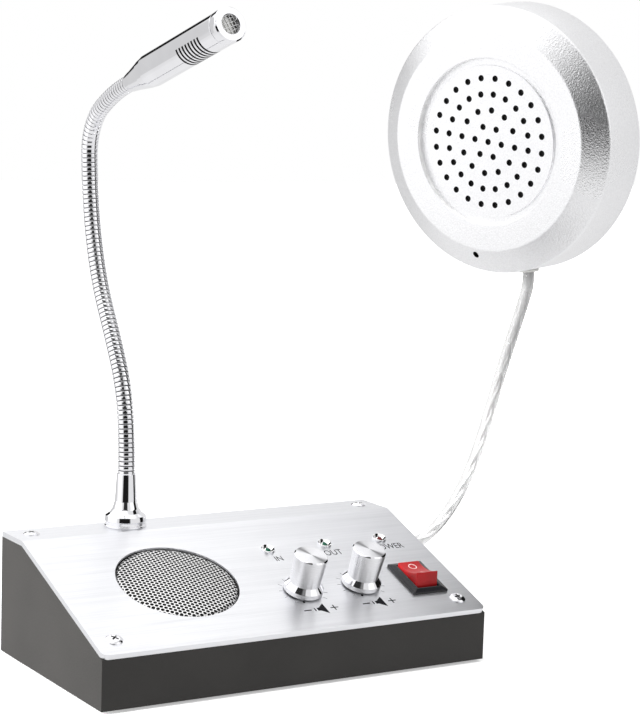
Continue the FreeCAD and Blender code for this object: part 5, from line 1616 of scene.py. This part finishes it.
@dataclass
class PlateLegends(SubAssembly):
    """Words, signs and ticks printed on the face plate."""

    thickness: float = 0.02
    dial: float = 9.05
    ticks: int = 11
    first_tick: float = -44.0
    tick_pitch: float = 26.8
    tick_size: tuple[float, float] = (1.6, 0.28)
    pointer: float = 8.1
    pointer_heading: float = -116.0
    pointer_size: tuple[float, float] = (1.2, 0.9)

    def print_on(self, piece: Piece, across: float, along: float, turn: float = 0.0,
                 faint: bool = False) -> Piece:
        """Lays a flat piece on the sloped plate as ink.

        Args:
            piece: The piece.
            across: How far right of the plate's middle it goes, in millimetres.
            along: How far up the slope it goes, in millimetres.
            turn: How far it is turned on the plate, in degrees.
            faint: Whether the ink is pale.

        Returns:
            The printed piece.
        """
        Bench.seat(piece, on_slope(across, along) @ turned_to(turn, "Z"))
        if faint:
            Palette.faint.dress(piece)
        return self.settle(piece, Palette.ink, Body.DESK, Slot.BLACK)

    def word(self, text: str, across: float, along: float, width: float, height: float) -> None:
        """Prints a word about its middle, in a box of a width and a height.

        Args:
            text: The word.
            across: How far right of the plate's middle it goes, in millimetres.
            along: How far up the slope it goes, in millimetres.
            width: The box's width.
            height: The box's height.
        """
        Bench.clear()
        bpy.ops.object.text_add()
        bpy.context.object.data.body = text
        bpy.context.object.data.extrude = 0.01
        bpy.ops.object.convert(target="MESH")
        piece = Bench.named("legend_" + text.lower())
        low = Vector([min(vertex.co[axis] for vertex in piece.data.vertices) for axis in range(3)])
        high = Vector([max(vertex.co[axis] for vertex in piece.data.vertices) for axis in range(3)])
        size = high - low
        fit = Matrix.Diagonal((width * MM / size.x, height * MM / size.y, self.thickness * MM / size.z, 1))
        Bench.seat(piece, fit @ Matrix.Translation((low + high) / -2))
        self.print_on(piece, across, along)

    def bar(self, name: str, spot: tuple[float, float], size: tuple[float, float], turn: float = 0.0,
            faint: bool = False) -> Piece:
        """Prints a straight bar about its middle.

        Args:
            name: The new piece's name.
            spot: Where its middle goes, across and along.
            size: Its length and width.
            turn: How far it is turned on the plate, in degrees.
            faint: Whether the ink is pale.

        Returns:
            The printed bar.
        """
        half_x, half_y = size[0] / 2, size[1] / 2
        corners = [(-half_x, -half_y), (half_x, -half_y), (half_x, half_y), (-half_x, half_y)]
        return self.print_on(Bench.draw_out(name, corners, self.thickness), *spot, turn, faint)

    def loudness(self, name: str, across: float, along: float) -> None:
        """Prints a minus, a loudspeaker sign and a plus.

        Args:
            name: The knob that it belongs to.
            across: How far right of the plate's middle it goes, in millimetres.
            along: How far up the slope it goes, in millimetres.
        """
        self.bar(name + "_minus", (across - 6.1, along), (3.2, 0.6))
        sign = [(-1.9, -0.95), (-0.9, -0.95), (1.9, -3.3), (1.9, 3.3), (-0.9, 0.95), (-1.9, 0.95)]
        self.print_on(Bench.draw_out(name + "_loudspeaker", sign, self.thickness), across, along)
        self.bar(name + "_coil", (across - 2.9, along), (0.5, 1.9))
        self.bar(name + "_plus_across", (across + 5.6, along), (3.4, 0.5))
        self.bar(name + "_plus_along", (across + 5.6, along), (0.5, 3.4))

    def scale(self, name: str, across: float, along: float) -> None:
        """Prints the ticks of a dial round a knob, and a pointer at its front.

        Args:
            name: The knob that it belongs to.
            across: How far right of the plate's middle it goes, in millimetres.
            along: How far up the slope it goes, in millimetres.
        """
        middle = Vector((across, along))
        for step in range(self.ticks):
            turn = self.first_tick + self.tick_pitch * step
            spot = middle + Vector((self.dial, 0)) @ Matrix.Rotation(-math.radians(turn), 2)
            self.bar(f"{name}_tick_{step}", spot, self.tick_size, turn, True)
        spot = middle + Vector((self.pointer, 0)) @ Matrix.Rotation(-math.radians(self.pointer_heading), 2)
        self.bar(name + "_pointer", spot, self.pointer_size, self.pointer_heading)

    def build(self) -> None:
        """Prints all that stands on the plate."""
        self.word("IN", 14.4, 48.0, 3.2, 3.2)
        self.word("OUT", 39.7, 48.4, 8.0, 3.6)
        self.word("POWER", 66.5, 48.6, 13.0, 3.6)
        for name in ("incoming", "outgoing"):
            self.loudness(name, COLUMNS[name] + 1.3, 12.2)
            self.scale(name, COLUMNS[name], 25.0)


# ---- gooseneck and microphone ----


@dataclass
class Gooseneck(SubAssembly):
    """Ferrule and coiled neck, in arcs that bend from hinge to hinge."""

    foot: tuple[float, float, float] = (-34.5, 35.8, 48.0)
    turn: float = 3.1
    start: float = 20.5
    link: float = 21.8
    bends: tuple[float, ...] = (7.4, 19.4, 3.8, -11.7, -9.4, -6.9, -60.2, -15.7)
    rings: int = 12
    coil: float = 2.62
    wire: float = 0.73
    ridge_share: float = 0.86
    painted_shade_depth: float = 0.16

    def base(self) -> Matrix:
        """The foot's place, with the neck's own upright plane on Y and Z."""
        return Matrix.Translation(mm(*self.foot)) @ turned_to(self.turn, "Z")

    def stations(self) -> list[tuple[float, float, float]]:
        """Distance back, height and heading in degrees where each link begins, and of the end.

        Returns:
            The nine stations, in millimetres and degrees.
        """
        back, height, heading = 0.0, self.start, 0.0
        stations = [(back, height, heading)]
        for bend in self.bends:
            half = math.radians(bend / 2)
            chord = self.link * math.sin(half) / half
            back += chord * math.sin(math.radians(heading) + half)
            height += chord * math.cos(math.radians(heading) + half)
            heading += bend
            stations.append((back, height, heading))
        return stations

    def spot(self, index: int, share: float) -> Matrix:
        """A place on a link, with Z along the neck.

        Args:
            index: Which link, from 0 at the ferrule.
            share: How far along it, from 0 to 1.

        Returns:
            The place in the row frame.
        """
        back, height, heading = self.stations()[index]
        bend = self.bends[index] * share
        half = math.radians(bend / 2)
        chord = self.link * share * (math.sin(half) / half if half else 1.0)
        middle = math.radians(heading) + half
        local = Matrix.Translation(mm(0, back + chord * math.sin(middle), height + chord * math.cos(middle)))
        return self.base() @ local @ turned_to(-(heading + bend), "X")

    def ring(self) -> Piece:
        """One turn of the neck's coil, closed on its inside.

        Returns:
            The ring, about Z.
        """
        tall = self.link / self.rings / 2
        ridge = tall * self.ridge_share
        floor, outer = self.coil - 0.12, self.coil + self.wire
        outline = eased([
            (2.1, -tall, 0), (floor, -tall, 0), (floor, -ridge, 0), (outer, -ridge, 0.2), (outer, ridge, 0.2),
            (floor, ridge, 0), (floor, tall, 0), (2.1, tall, 0),
        ], 4)
        piece = Bench.turn("neck_ring", outline, 40, ring=True)
        Bench.zone(piece, (Palette.chrome, Palette.shadow), lambda spot, way: 0)
        # Faces sunk below the ridge's crest get painted shade, darkening the gaps between the rings.
        for face in piece.data.polygons:
            inner = min(piece.data.vertices[index].co.xy.length for index in face.vertices)
            face.material_index = int(inner < (outer - self.painted_shade_depth) * MM)
        return Bench.smooth(piece, 50)

    def ferrule(self) -> None:
        """Turns the bright ferrule that the neck stands in."""
        outline = eased([
            (4.0, 6.0, 0), (4.0, 0, 0), (8.3, 0, 0.4), (8.3, 0.7, 0.3), (7.9, 1.0, 0.2), (7.9, 2.2, 0.2),
            (8.3, 2.5, 0.2), (8.0, 4.5, 0.3), (6.4, 5.6, 1.2), (5.3, 7.2, 2.0), (4.4, 10.2, 2.5),
            (4.2, 14.0, 1.0), (3.8, 21.0, 0.3), (3.42, 21.0, 0.1), (3.42, 13.0, 0),
        ], 6)
        piece = Bench.smooth(Bench.turn("ferrule_turned", outline, 112, ring=True), 24)
        Bench.seat(piece, self.base())
        self.settle(piece, Palette.chrome, Body.DESK, Slot.CHROME, "gooseneck_ferrule")

    def body(self, index: int) -> str:
        """The body of a link."""
        return Body.DESK.value if index == 0 else f"neck_{index + 1}"

    def length(self, name: str, model: Piece, places: Sequence[tuple[int, int]]) -> Piece:
        """Rows rings up along the neck as one piece, each at its link and its number there."""
        sites = [self.spot(link, (step + 0.5) / self.rings) for link, step in places]
        return Bench.join(name, [Bench.copy(model, name, site) for site in sites])

    def build(self) -> None:
        """Builds the ferrule and the neck, in pieces that each span one hinge; the pieces between the foot
        and the head are baked in place and ride on no body.
        """
        self.ferrule()
        model = self.ring()
        half = self.rings // 2
        low = self.length("neck_foot", model, [(0, step) for step in range(half)])
        self.settle(low, Palette.chrome, Body.DESK, Slot.CHROME, "gooseneck_1")
        for index in range(len(self.bends) - 1):
            places = [(index, step) for step in range(half, self.rings)]
            places += [(index + 1, step) for step in range(half)]
            piece = self.length(f"neck_bend_{index + 1}_coil", model, places)
            self.body(index)
            self.body(index + 1)
            self.spot(index, 0.5).translation
            self.spot(index + 1, 0.5).translation
            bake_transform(piece)
            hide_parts(f"gooseneck_{index + 2}")
            log.info("%s: %d faces", piece.name, len(piece.data.polygons))
        last = len(self.bends) - 1
        high = self.length("neck_head", model, [(last, step) for step in range(half, self.rings + 2)])
        self.settle(high, Palette.chrome, Body.HEAD, Slot.CHROME, "gooseneck_8")
        Bench.drop(model)


@dataclass
class Microphone(SubAssembly):
    """Slim bright microphone with a slotted side and a woven face."""

    neck: Gooseneck
    length: float = 77.5
    tail: float = 3.6
    ring_length: float = 4.2
    ring_radius: float = 6.6
    barrel: float = 6.5
    opening: float = 3.9
    face: float = 1.6
    groove_first: float = 49.0
    groove_pitch: float = 2.15
    groove_width: float = 1.1
    groove_depth: float = 1.0
    groove_count: int = 8
    groove_end: float = 305.0
    groove_span: float = 115.0
    weave: float = 1.45
    wire: float = 0.14
    weave_radius: float = 4.75
    weave_rows: int = 6
    weave_turn: float = 20.0

    def place(self) -> Matrix:
        """Where the microphone's tail sits, with Z along it."""
        return self.neck.spot(len(self.neck.bends) - 1, 1.0)

    def tube(self) -> Piece:
        """The body with its tapered tail and its slots.

        Returns:
            The tube, with its tail at the origin and Z along it.
        """
        end = self.length - self.ring_length
        outline = eased([
            (0, 5.8, 0), (3.45, 5.8, 0), (3.45, self.tail, 0), (3.75, self.tail, 0.15), (4.4, 8.0, 6),
            (6.0, 16.5, 4), (self.barrel, 20.5, 3), (self.barrel, end - 0.7, 0),
            (self.barrel, end - 0.15, 0.2), (6.0, end - 0.1, 0), (6.0, end, 0), (5.2, end, 0),
            (5.2, end - 12, 0), (0, end - 12, 0),
        ], 6)
        piece = Bench.turn("mic_tube", outline, 128)
        depth = self.barrel - self.groove_depth
        half = self.groove_width / 2
        slot = Bench.turn(
            "slot", [(depth, -half), (self.barrel + 0.8, -half), (self.barrel + 0.8, half), (depth, half)],
            48, ring=True, sweep=self.groove_span,
        )
        rises = [self.groove_first + index * self.groove_pitch for index in range(self.groove_count)]
        aside = turned_to(self.groove_end, "Z")
        slots = [Bench.copy(slot, "slot", Matrix.Translation(mm(0, 0, rise)) @ aside) for rise in rises]
        Bench.drop(slot)
        Bench.carve(piece, Bench.join("slots", slots))
        top = self.groove_first + self.groove_count * self.groove_pitch

        def groove(spot: Vector, way: Vector) -> int:
            """1 for the floors and sides of the grooves, which get painted shade."""
            deep = depth - 0.1 < spot.xy.length < self.barrel - 0.02
            return int(deep and self.groove_first - 2 < spot.z < top)

        return Bench.smooth(Bench.zone(piece, (Palette.chrome, Palette.shadow), groove), 24)

    def front_ring(self) -> Piece:
        """The ring that holds the face, with its chamfered edge.

        Returns:
            The ring, about Z.
        """
        low = self.length - self.ring_length
        radius = self.ring_radius
        outline = eased([
            (self.opening, self.length, 0.15), (self.opening, self.length - self.face, 0),
            (5.3, self.length - self.face, 0), (5.3, low + 0.3, 0), (6.1, low + 0.3, 0), (6.1, low + 0.05, 0),
            (radius - 0.25, low + 0.05, 0.1), (radius, low + 0.3, 0.15), (radius, self.length - 0.55, 0.1),
            (radius - 0.55, self.length, 0.15),
        ])
        return Bench.smooth(Bench.turn("mic_ring", outline, 128, ring=True), 24)

    def wire_at(self, model: Piece, offset: float, turned: bool) -> Piece:
        """One wire of the weave, cut to the width of the round there.

        Args:
            model: A long wire along X.
            offset: How far beside the middle it runs, in millimetres.
            turned: Whether it runs along Y.

        Returns:
            The wire.
        """
        flip = turned_to(90, "Z") if turned else Matrix.Identity(4)
        piece = Bench.copy(model, "wire", flip @ Matrix.Translation(mm(0, offset, 0)))
        half = math.sqrt(self.weave_radius**2 - offset**2) * MM
        axis = Vector((0, 1, 0)) if turned else Vector((1, 0, 0))
        Bench.edit(piece)
        for way in (axis, -axis):
            bpy.ops.mesh.select_all(action="SELECT")
            bpy.ops.mesh.bisect(plane_co=way * half, plane_no=way, clear_outer=True, use_fill=True)
        Bench.close()
        return piece

    def woven_face(self) -> Piece:
        """Two sets of wires that pass over and under each other.

        Returns:
            The weave, flat about the origin.
        """
        span = 5
        models = []
        for sign in (1, -1):
            Bench.clear()
            bpy.ops.mesh.primitive_circle_add(
                vertices=6, radius=self.wire * MM, fill_type="NGON", location=mm(-span * self.weave, 0, 0),
                rotation=(0, math.pi / 2, 0),
            )
            model = Bench.named("wire")
            Bench.seat(model, model.matrix_world.copy())
            Bench.edit(model)
            steps = span * 2 * 4
            wave = [sign * self.wire * 0.9 * math.sin(math.tau * step / 8) for step in range(steps + 1)]
            for low, high in zip(wave, wave[1:]):
                shift = mm(self.weave / 4, 0, high - low)
                bpy.ops.mesh.extrude_region_move(TRANSFORM_OT_translate={"value": shift})
            Bench.close()
            models.append(model)
        wires = []
        for turned in (False, True):
            for row in range(-self.weave_rows // 2, self.weave_rows // 2):
                odd = (row + turned) % 2
                wires.append(self.wire_at(models[odd], (row + 0.5) * self.weave, turned))
        Bench.drop(*models)
        return Bench.smooth(Bench.join("mic_weave", wires), 60)

    def build(self) -> None:
        """Builds the microphone on the end of the neck."""
        place = self.place()
        tube = Bench.seat(self.tube(), place)
        self.settle(tube, Palette.chrome, Body.HEAD, Slot.CHROME, "mic_body")
        ring = Bench.seat(self.front_ring(), place)
        self.settle(ring, Palette.chrome, Body.HEAD, Slot.CHROME, "mic_front_ring")
        depth = self.length - self.face - 0.55
        inside = place @ Matrix.Translation(mm(0, 0, depth))
        weave = Bench.seat(self.woven_face(), inside @ turned_to(self.weave_turn, "Z"))
        # The weave is flat white, a painted highlight.
        self.settle(weave, Palette.painted_highlight, Body.HEAD, Slot.GRILLE, "mic_mesh")
        # A near-black disc behind the weave.
        dark_backing = Bench.turn("mic_dark_backing", [(0, -1.4), (4.9, -1.4), (4.9, -0.9), (0, -0.8)], 48)
        Bench.seat(dark_backing, inside)
        self.settle(dark_backing, Palette.shadow, Body.HEAD, Slot.BLACK)


# ---- outer unit and its cable ----


@dataclass
class OuterUnit(SubAssembly):
    """Round outer unit: a spun shell with a bevelled front, and a pierced disc in its middle."""

    centre: tuple[float, float, float] = (151.7, 55.1, 201.4)
    heading: float = -69.8
    tilt: float = 95.6
    roll: float = -8.4
    rim: float = 58.7
    rear: float = 59.6
    depth: float = 23.0
    wall: float = 2.4
    crown_radius: float = 48.2
    crown: float = 6.8
    opening: float = 36.5
    front: float = 2.5
    mic_circle: float = 51.0
    mic_hole: float = 1.45
    disc_rise: float = 1.0
    ring_counts: tuple[int, ...] = (6, 12, 20, 24)
    ring_pitch: float = 6.96
    cup: float = 1.24
    cup_edge: float = 0.17
    cup_depth: float = 1.2

    def place(self) -> Matrix:
        """The unit's place, with Z out of its front.

        Returns:
            The place of the front's middle.
        """
        return (
            Matrix.Translation(mm(*self.centre)) @ turned_to(self.heading, "Z") @ turned_to(self.tilt, "X")
            @ turned_to(self.roll, "Z")
        )

    def shell(self) -> Piece:
        """The shell, with the small hole of its microphone.

        Returns:
            The shell, about Z.
        """
        inner = self.crown - self.front
        outline = eased([
            (self.opening, inner, 0), (self.opening, self.crown - 0.5, 0), (self.opening, self.crown, 0.25),
            (self.opening + 0.6, self.crown, 0), (self.crown_radius, self.crown, 2.0),
            (self.rim, 0, 1.6), (self.rear, -self.depth, 0.5), (self.rear - self.wall, -self.depth, 0),
            (self.rim - self.wall, -self.wall / 2, 0), (self.crown_radius - self.wall / 3, inner, 0),
        ], 6)
        piece = Bench.turn("outer_shell_spun", outline, 192, ring=True)
        bore = Bench.turn("bore", [(0, -6), (self.mic_hole, -6), (self.mic_hole, 9), (0, 9)], 32)
        Bench.seat(bore, Matrix.Translation(mm(0, -self.mic_circle, 0)))
        Bench.carve(piece, bore)

        def wall(spot: Vector, way: Vector) -> int:
            """1 for the wall of the microphone's hole, which gets painted shade, and 2 for the wall of the
            opening, which gets a painted white highlight.

            Args:
                spot: The middle of a face, in millimetres.
                way: The normal of the face.

            Returns:
                The number of the finish that the face gets.
            """
            if abs(way.z) > 0.4:
                return 0
            bored = (spot.xy - Vector((0, -self.mic_circle))).length < self.mic_hole + 0.05
            return 1 if bored else 2 * int(spot.xy.length < self.opening + 0.05)

        return Bench.smooth(Bench.zone(piece, (Palette.satin, Palette.shadow, Palette.painted_highlight), wall), 20)

    def cups(self) -> Piece:
        """Near-black dents in the disc's holes, painted shade seen through them, joined as one piece.

        Returns:
            The cups, with Z out of the disc.
        """
        edge, hole, thick = self.cup + self.cup_edge, self.cup, 0.02
        outline = [
            (0, -self.cup_depth), (hole, -self.cup_depth), (hole, -thick), (edge, -thick), (edge, thick),
            (hole - 0.1, thick), (hole - 0.1, 0.1 - self.cup_depth), (0, 0.1 - self.cup_depth),
        ]
        model = Bench.turn("cup", outline, 16)
        face = self.crown - self.front + self.disc_rise
        copies = []
        for ring, count in enumerate((1, *self.ring_counts)):
            spot = Matrix.Translation(mm(ring * self.ring_pitch, 0, face))
            for step in range(count):
                place = turned_to(180 + 360 * step / count, "Z") @ spot
                copies.append(Bench.copy(model, "disc_hole_shade", place))
        Bench.drop(model)
        return Bench.join("disc_hole_shade", copies)

    def build(self) -> None:
        """Builds the shell, and the near-black dents of painted shade in the pierced disc's holes."""
        shell = Bench.seat(self.shell(), self.place())
        self.settle(shell, Palette.satin, Body.DESK, Slot.SATIN, "outer_shell")
        shade_backing = Bench.smooth(Bench.seat(self.cups(), self.place()), 30)
        self.settle(shade_backing, Palette.shadow, Body.DESK, Slot.BLACK)


@dataclass
class OuterCable(SubAssembly):
    """Clear cable from the outer unit down to a coil behind the desk unit, with its plug."""

    radius: float = 2.6
    sides: int = 16
    strand: tuple[float, int, float, float] = (0.75, 6, 0.85, 0.026)
    exit: tuple[float, float, float] = (176.27, 58.32, 143.43)
    run: tuple[tuple[float, float, float], ...] = (
        (175.635, 58.587, 148.584), (176.774, 58.108, 139.366), (174.6, 60.3, 127.0), (171.0, 62.5, 112.0),
        (167.8, 64.8, 97.5), (164.6, 67.3, 80.5), (160.2, 69.3, 61.5), (152.5, 70.3, 42.5),
        (139.0, 67.5, 28.0), (120.0, 61.5, 20.5), (102.0, 57.3, 18.2), (93.6, 56.9, 18.2),
    )
    lead: tuple[tuple[float, float, float], ...] = ((66.4, 56.9, 2.6), (50.0, 58.5, 4.6), (34.0, 58.5, 4.6))
    coil_centre: tuple[float, float] = (80.0, 91.0)
    coil_turns: int = 11
    points_per_turn: int = 20
    coil_radii: tuple[float, ...] = (34.1, 28.9, 23.7)
    coil_heights: tuple[float, ...] = (18.2, 13.0, 7.8, 2.6)
    layer_turns: float = 2.75
    layer_stops: tuple[tuple[float, int], ...] = ((0.0, 0), (0.8, 0), (1.0, 1), (1.8, 1), (2.0, 2), (2.55, 2))

    def stops(self) -> list[Vector]:
        """Turns, radius and height of the coil's middle line wherever it begins or ends a step.

        Returns:
            The stops, from the top of the coil down.
        """
        stops = []
        for layer, height in enumerate(self.coil_heights):
            radii = self.coil_radii[::-1 if layer % 2 else 1]
            for turns, ring in self.layer_stops:
                stops.append(Vector((layer * self.layer_turns + turns, radii[ring], height)))
        return stops

    def winding(self, turn: float) -> Vector:
        """Radius and height of the coil's middle line after a number of turns.

        Args:
            turn: The number of turns.

        Returns:
            The radius and the height, in millimetres.
        """
        stops = self.stops()
        for before, after in zip(stops, stops[1:]):
            if turn <= after[0]:
                share = (turn - before[0]) / (after[0] - before[0])
                return before.lerp(after, share * share * (3 - 2 * share)).yz
        return stops[-1].yz

    def route(self) -> list[Vector]:
        """The cable's control points from the outer unit to the plug, in metres.

        Returns:
            The points.
        """
        points = [mm(*point) for point in self.run]
        shrink = 0.5 * (1 + math.cos(math.pi / self.points_per_turn) ** 2)
        for step in range(1, self.coil_turns * self.points_per_turn):
            turn = step / self.points_per_turn
            radius, height = self.winding(turn)
            angle = math.radians(-90) - math.tau * turn
            spread = radius / shrink
            across = self.coil_centre[0] + spread * math.cos(angle)
            points.append(mm(across, self.coil_centre[1] + spread * math.sin(angle), height))
        return points + [mm(*point) for point in self.lead]

    def line(self) -> list[Vector]:
        """Points close together on the smooth line through the route.

        Returns:
            The points, in metres.
        """
        curve = bpy.data.curves.new("cable_line", "CURVE")
        curve.dimensions = "3D"
        curve.resolution_u = 5
        route = self.route()
        spline = curve.splines.new("NURBS")
        spline.points.add(len(route) - 1)
        for point, spot in zip(spline.points, route):
            point.co = (*spot, 1.0)
        spline.order_u = 3
        spline.use_endpoint_u = True
        guide = bpy.data.objects.new("cable_line", curve)
        bpy.context.scene.collection.objects.link(guide)
        bpy.context.view_layer.update()
        mesh = bpy.data.meshes.new_from_object(guide)
        points = [vertex.co.copy() for vertex in mesh.vertices]
        bpy.data.meshes.remove(mesh)
        bpy.data.objects.remove(guide)
        kept = [points[0]]
        for point in points[1:]:
            if (point - kept[-1]).length > 0.05 * MM:
                kept.append(point)
        return kept

    def frames(self, line: Sequence[Vector]) -> list[tuple[Vector, Vector, Vector]]:
        """Each point of the line with two directions square to it, which turn as little as they can.

        Args:
            line: The line's points.

        Returns:
            For each point, itself and the two directions.
        """
        side = Vector((0, 0, 1)).cross(line[1] - line[0]).normalized()
        frames = []
        for index, point in enumerate(line):
            ahead = (line[min(index + 1, len(line) - 1)] - line[max(index - 1, 0)]).normalized()
            side = (side - ahead * side.dot(ahead)).normalized()
            frames.append((point, side, ahead.cross(side)))
        return frames

    def tube(self, name: str, line: Sequence[Vector], radius: float, sides: int, offset: float = 0.0,
             pitch: float = 1.0, phase: float = 0.0) -> Piece:
        """A closed tube along a line, or one that winds round it.

        Args:
            name: The new piece's name.
            line: The points that it follows.
            radius: The tube's radius in millimetres.
            sides: How many sides it has.
            offset: How far from the line its middle runs.
            pitch: Length of one turn round the line, in metres.
            phase: Where round the line it starts, in degrees.

        Returns:
            The tube, with a wrap whose V is its length in metres.
        """
        vertices, faces, lengths = [], [], []
        travelled = 0.0
        frames = self.frames(line)
        for index, (point, side, other) in enumerate(frames):
            travelled += (point - line[index - 1]).length if index else 0.0
            lengths.append(travelled)
            swing = math.tau * travelled / pitch + math.radians(phase)
            middle = point + (side * math.cos(swing) + other * math.sin(swing)) * offset * MM
            for step in range(sides):
                angle = math.tau * step / sides
                vertices.append(middle + (side * math.cos(angle) + other * math.sin(angle)) * radius * MM)
        for index in range(len(frames) - 1):
            for step in range(sides):
                near, far = index * sides, (index + 1) * sides
                ahead = (step + 1) % sides
                faces.append((near + step, near + ahead, far + ahead, far + step))
        last = (len(frames) - 1) * sides
        faces.append(tuple(reversed(range(sides))))
        faces.append(tuple(last + step for step in range(sides)))
        mesh = bpy.data.meshes.new(name)
        mesh.from_pydata(vertices, [], faces)
        layer = mesh.uv_layers.new(name="wrap")
        for face in mesh.polygons:
            steps = [index % sides for index in face.vertices]
            seam = max(steps) - min(steps) > 1 and len(steps) == 4
            for loop, index, step in zip(face.loop_indices, face.vertices, steps):
                around = sides if seam and step == 0 else step
                layer.data[loop].uv = (around / sides, lengths[index // sides])
        piece = bpy.data.objects.new(name, mesh)
        bpy.context.scene.collection.objects.link(piece)
        return Bench.smooth(piece, 40)

    def plug(self) -> Piece:
        """The plug with its ribbed boot and its pin, lying along -X from the cable's end.

        Returns:
            The plug, lying at the end of the lead.
        """
        ribs = [(2.7, 0.0, 0.2)]
        for index in range(5):
            low = 0.8 + index * 2.2
            ribs += [(3.3 + index * 0.2, low, 0.2), (3.4 + index * 0.2, low + 1.3, 0.2),
                     (2.9 + index * 0.2, low + 1.5, 0.1), (2.9 + index * 0.2, low + 2.0, 0.1)]
        body = [(4.6, 12.0, 0.5), (4.6, 30.3, 0.8), (1.75, 31.0, 0.0), (0.0, 31.0, 0.0)]
        piece = Bench.turn("plug_handle", eased([(0.0, 0.0, 0.0)] + ribs + body), 64)
        Palette.plug.dress(piece)
        pin = Bench.turn("plug_pin", eased([
            (0, 30.8, 0), (1.74, 30.8, 0), (1.74, 37.4, 0), (1.6, 37.5, 0), (1.6, 38.1, 0), (1.74, 38.2, 0),
            (1.74, 40.8, 0), (1.6, 40.9, 0), (1.6, 41.5, 0), (1.74, 41.6, 0), (1.2, 43.0, 0.3),
            (1.7, 43.8, 0.3), (0.5, 44.9, 0.3), (0, 44.95, 0),
        ]), 48)
        Palette.nickel.dress(pin)
        both = Bench.smooth(Bench.join("cable_plug", [piece, pin]), 30)
        lie_down = turned_to(-90, "Y")
        return Bench.seat(both, Matrix.Translation(mm(*self.lead[-1])) @ lie_down)

    def build(self) -> None:
        """Lays the cable and its plug."""
        line = self.line()
        sheath = self.tube("cable_sheath", line, self.radius, self.sides)
        self.settle(sheath, Palette.sheath, Body.DESK, Slot.CABLE, "outer_cable", "outer_cable_coil")
        for index, phase in enumerate((0.0, 180.0)):
            strand = self.tube(f"cable_strand_{index + 1}", line, *self.strand, phase)
            self.settle(strand, Palette.strand, Body.DESK, Slot.CABLE)
        plug = self.settle(self.plug(), Palette.plug, Body.DESK, Slot.PLUG, "outer_cable_plug")


def main() -> None:
    """Builds every sub-assembly in order."""
    logging.basicConfig(level=logging.INFO, format="%(name)s %(message)s")
    Studio().set_up()
    OuterCable().build()
    Palette.dress_solids()
    DeskGrille().build()
    FaceScrews().build()
    VolumeKnobs().build()
    IndicatorLamps().build()
    PowerRocker().build()
    PlateLegends().build()
    neck = Gooseneck()
    neck.build()
    Microphone(neck).build()
    OuterUnit().build()


if __name__ == "__main__":
    main()
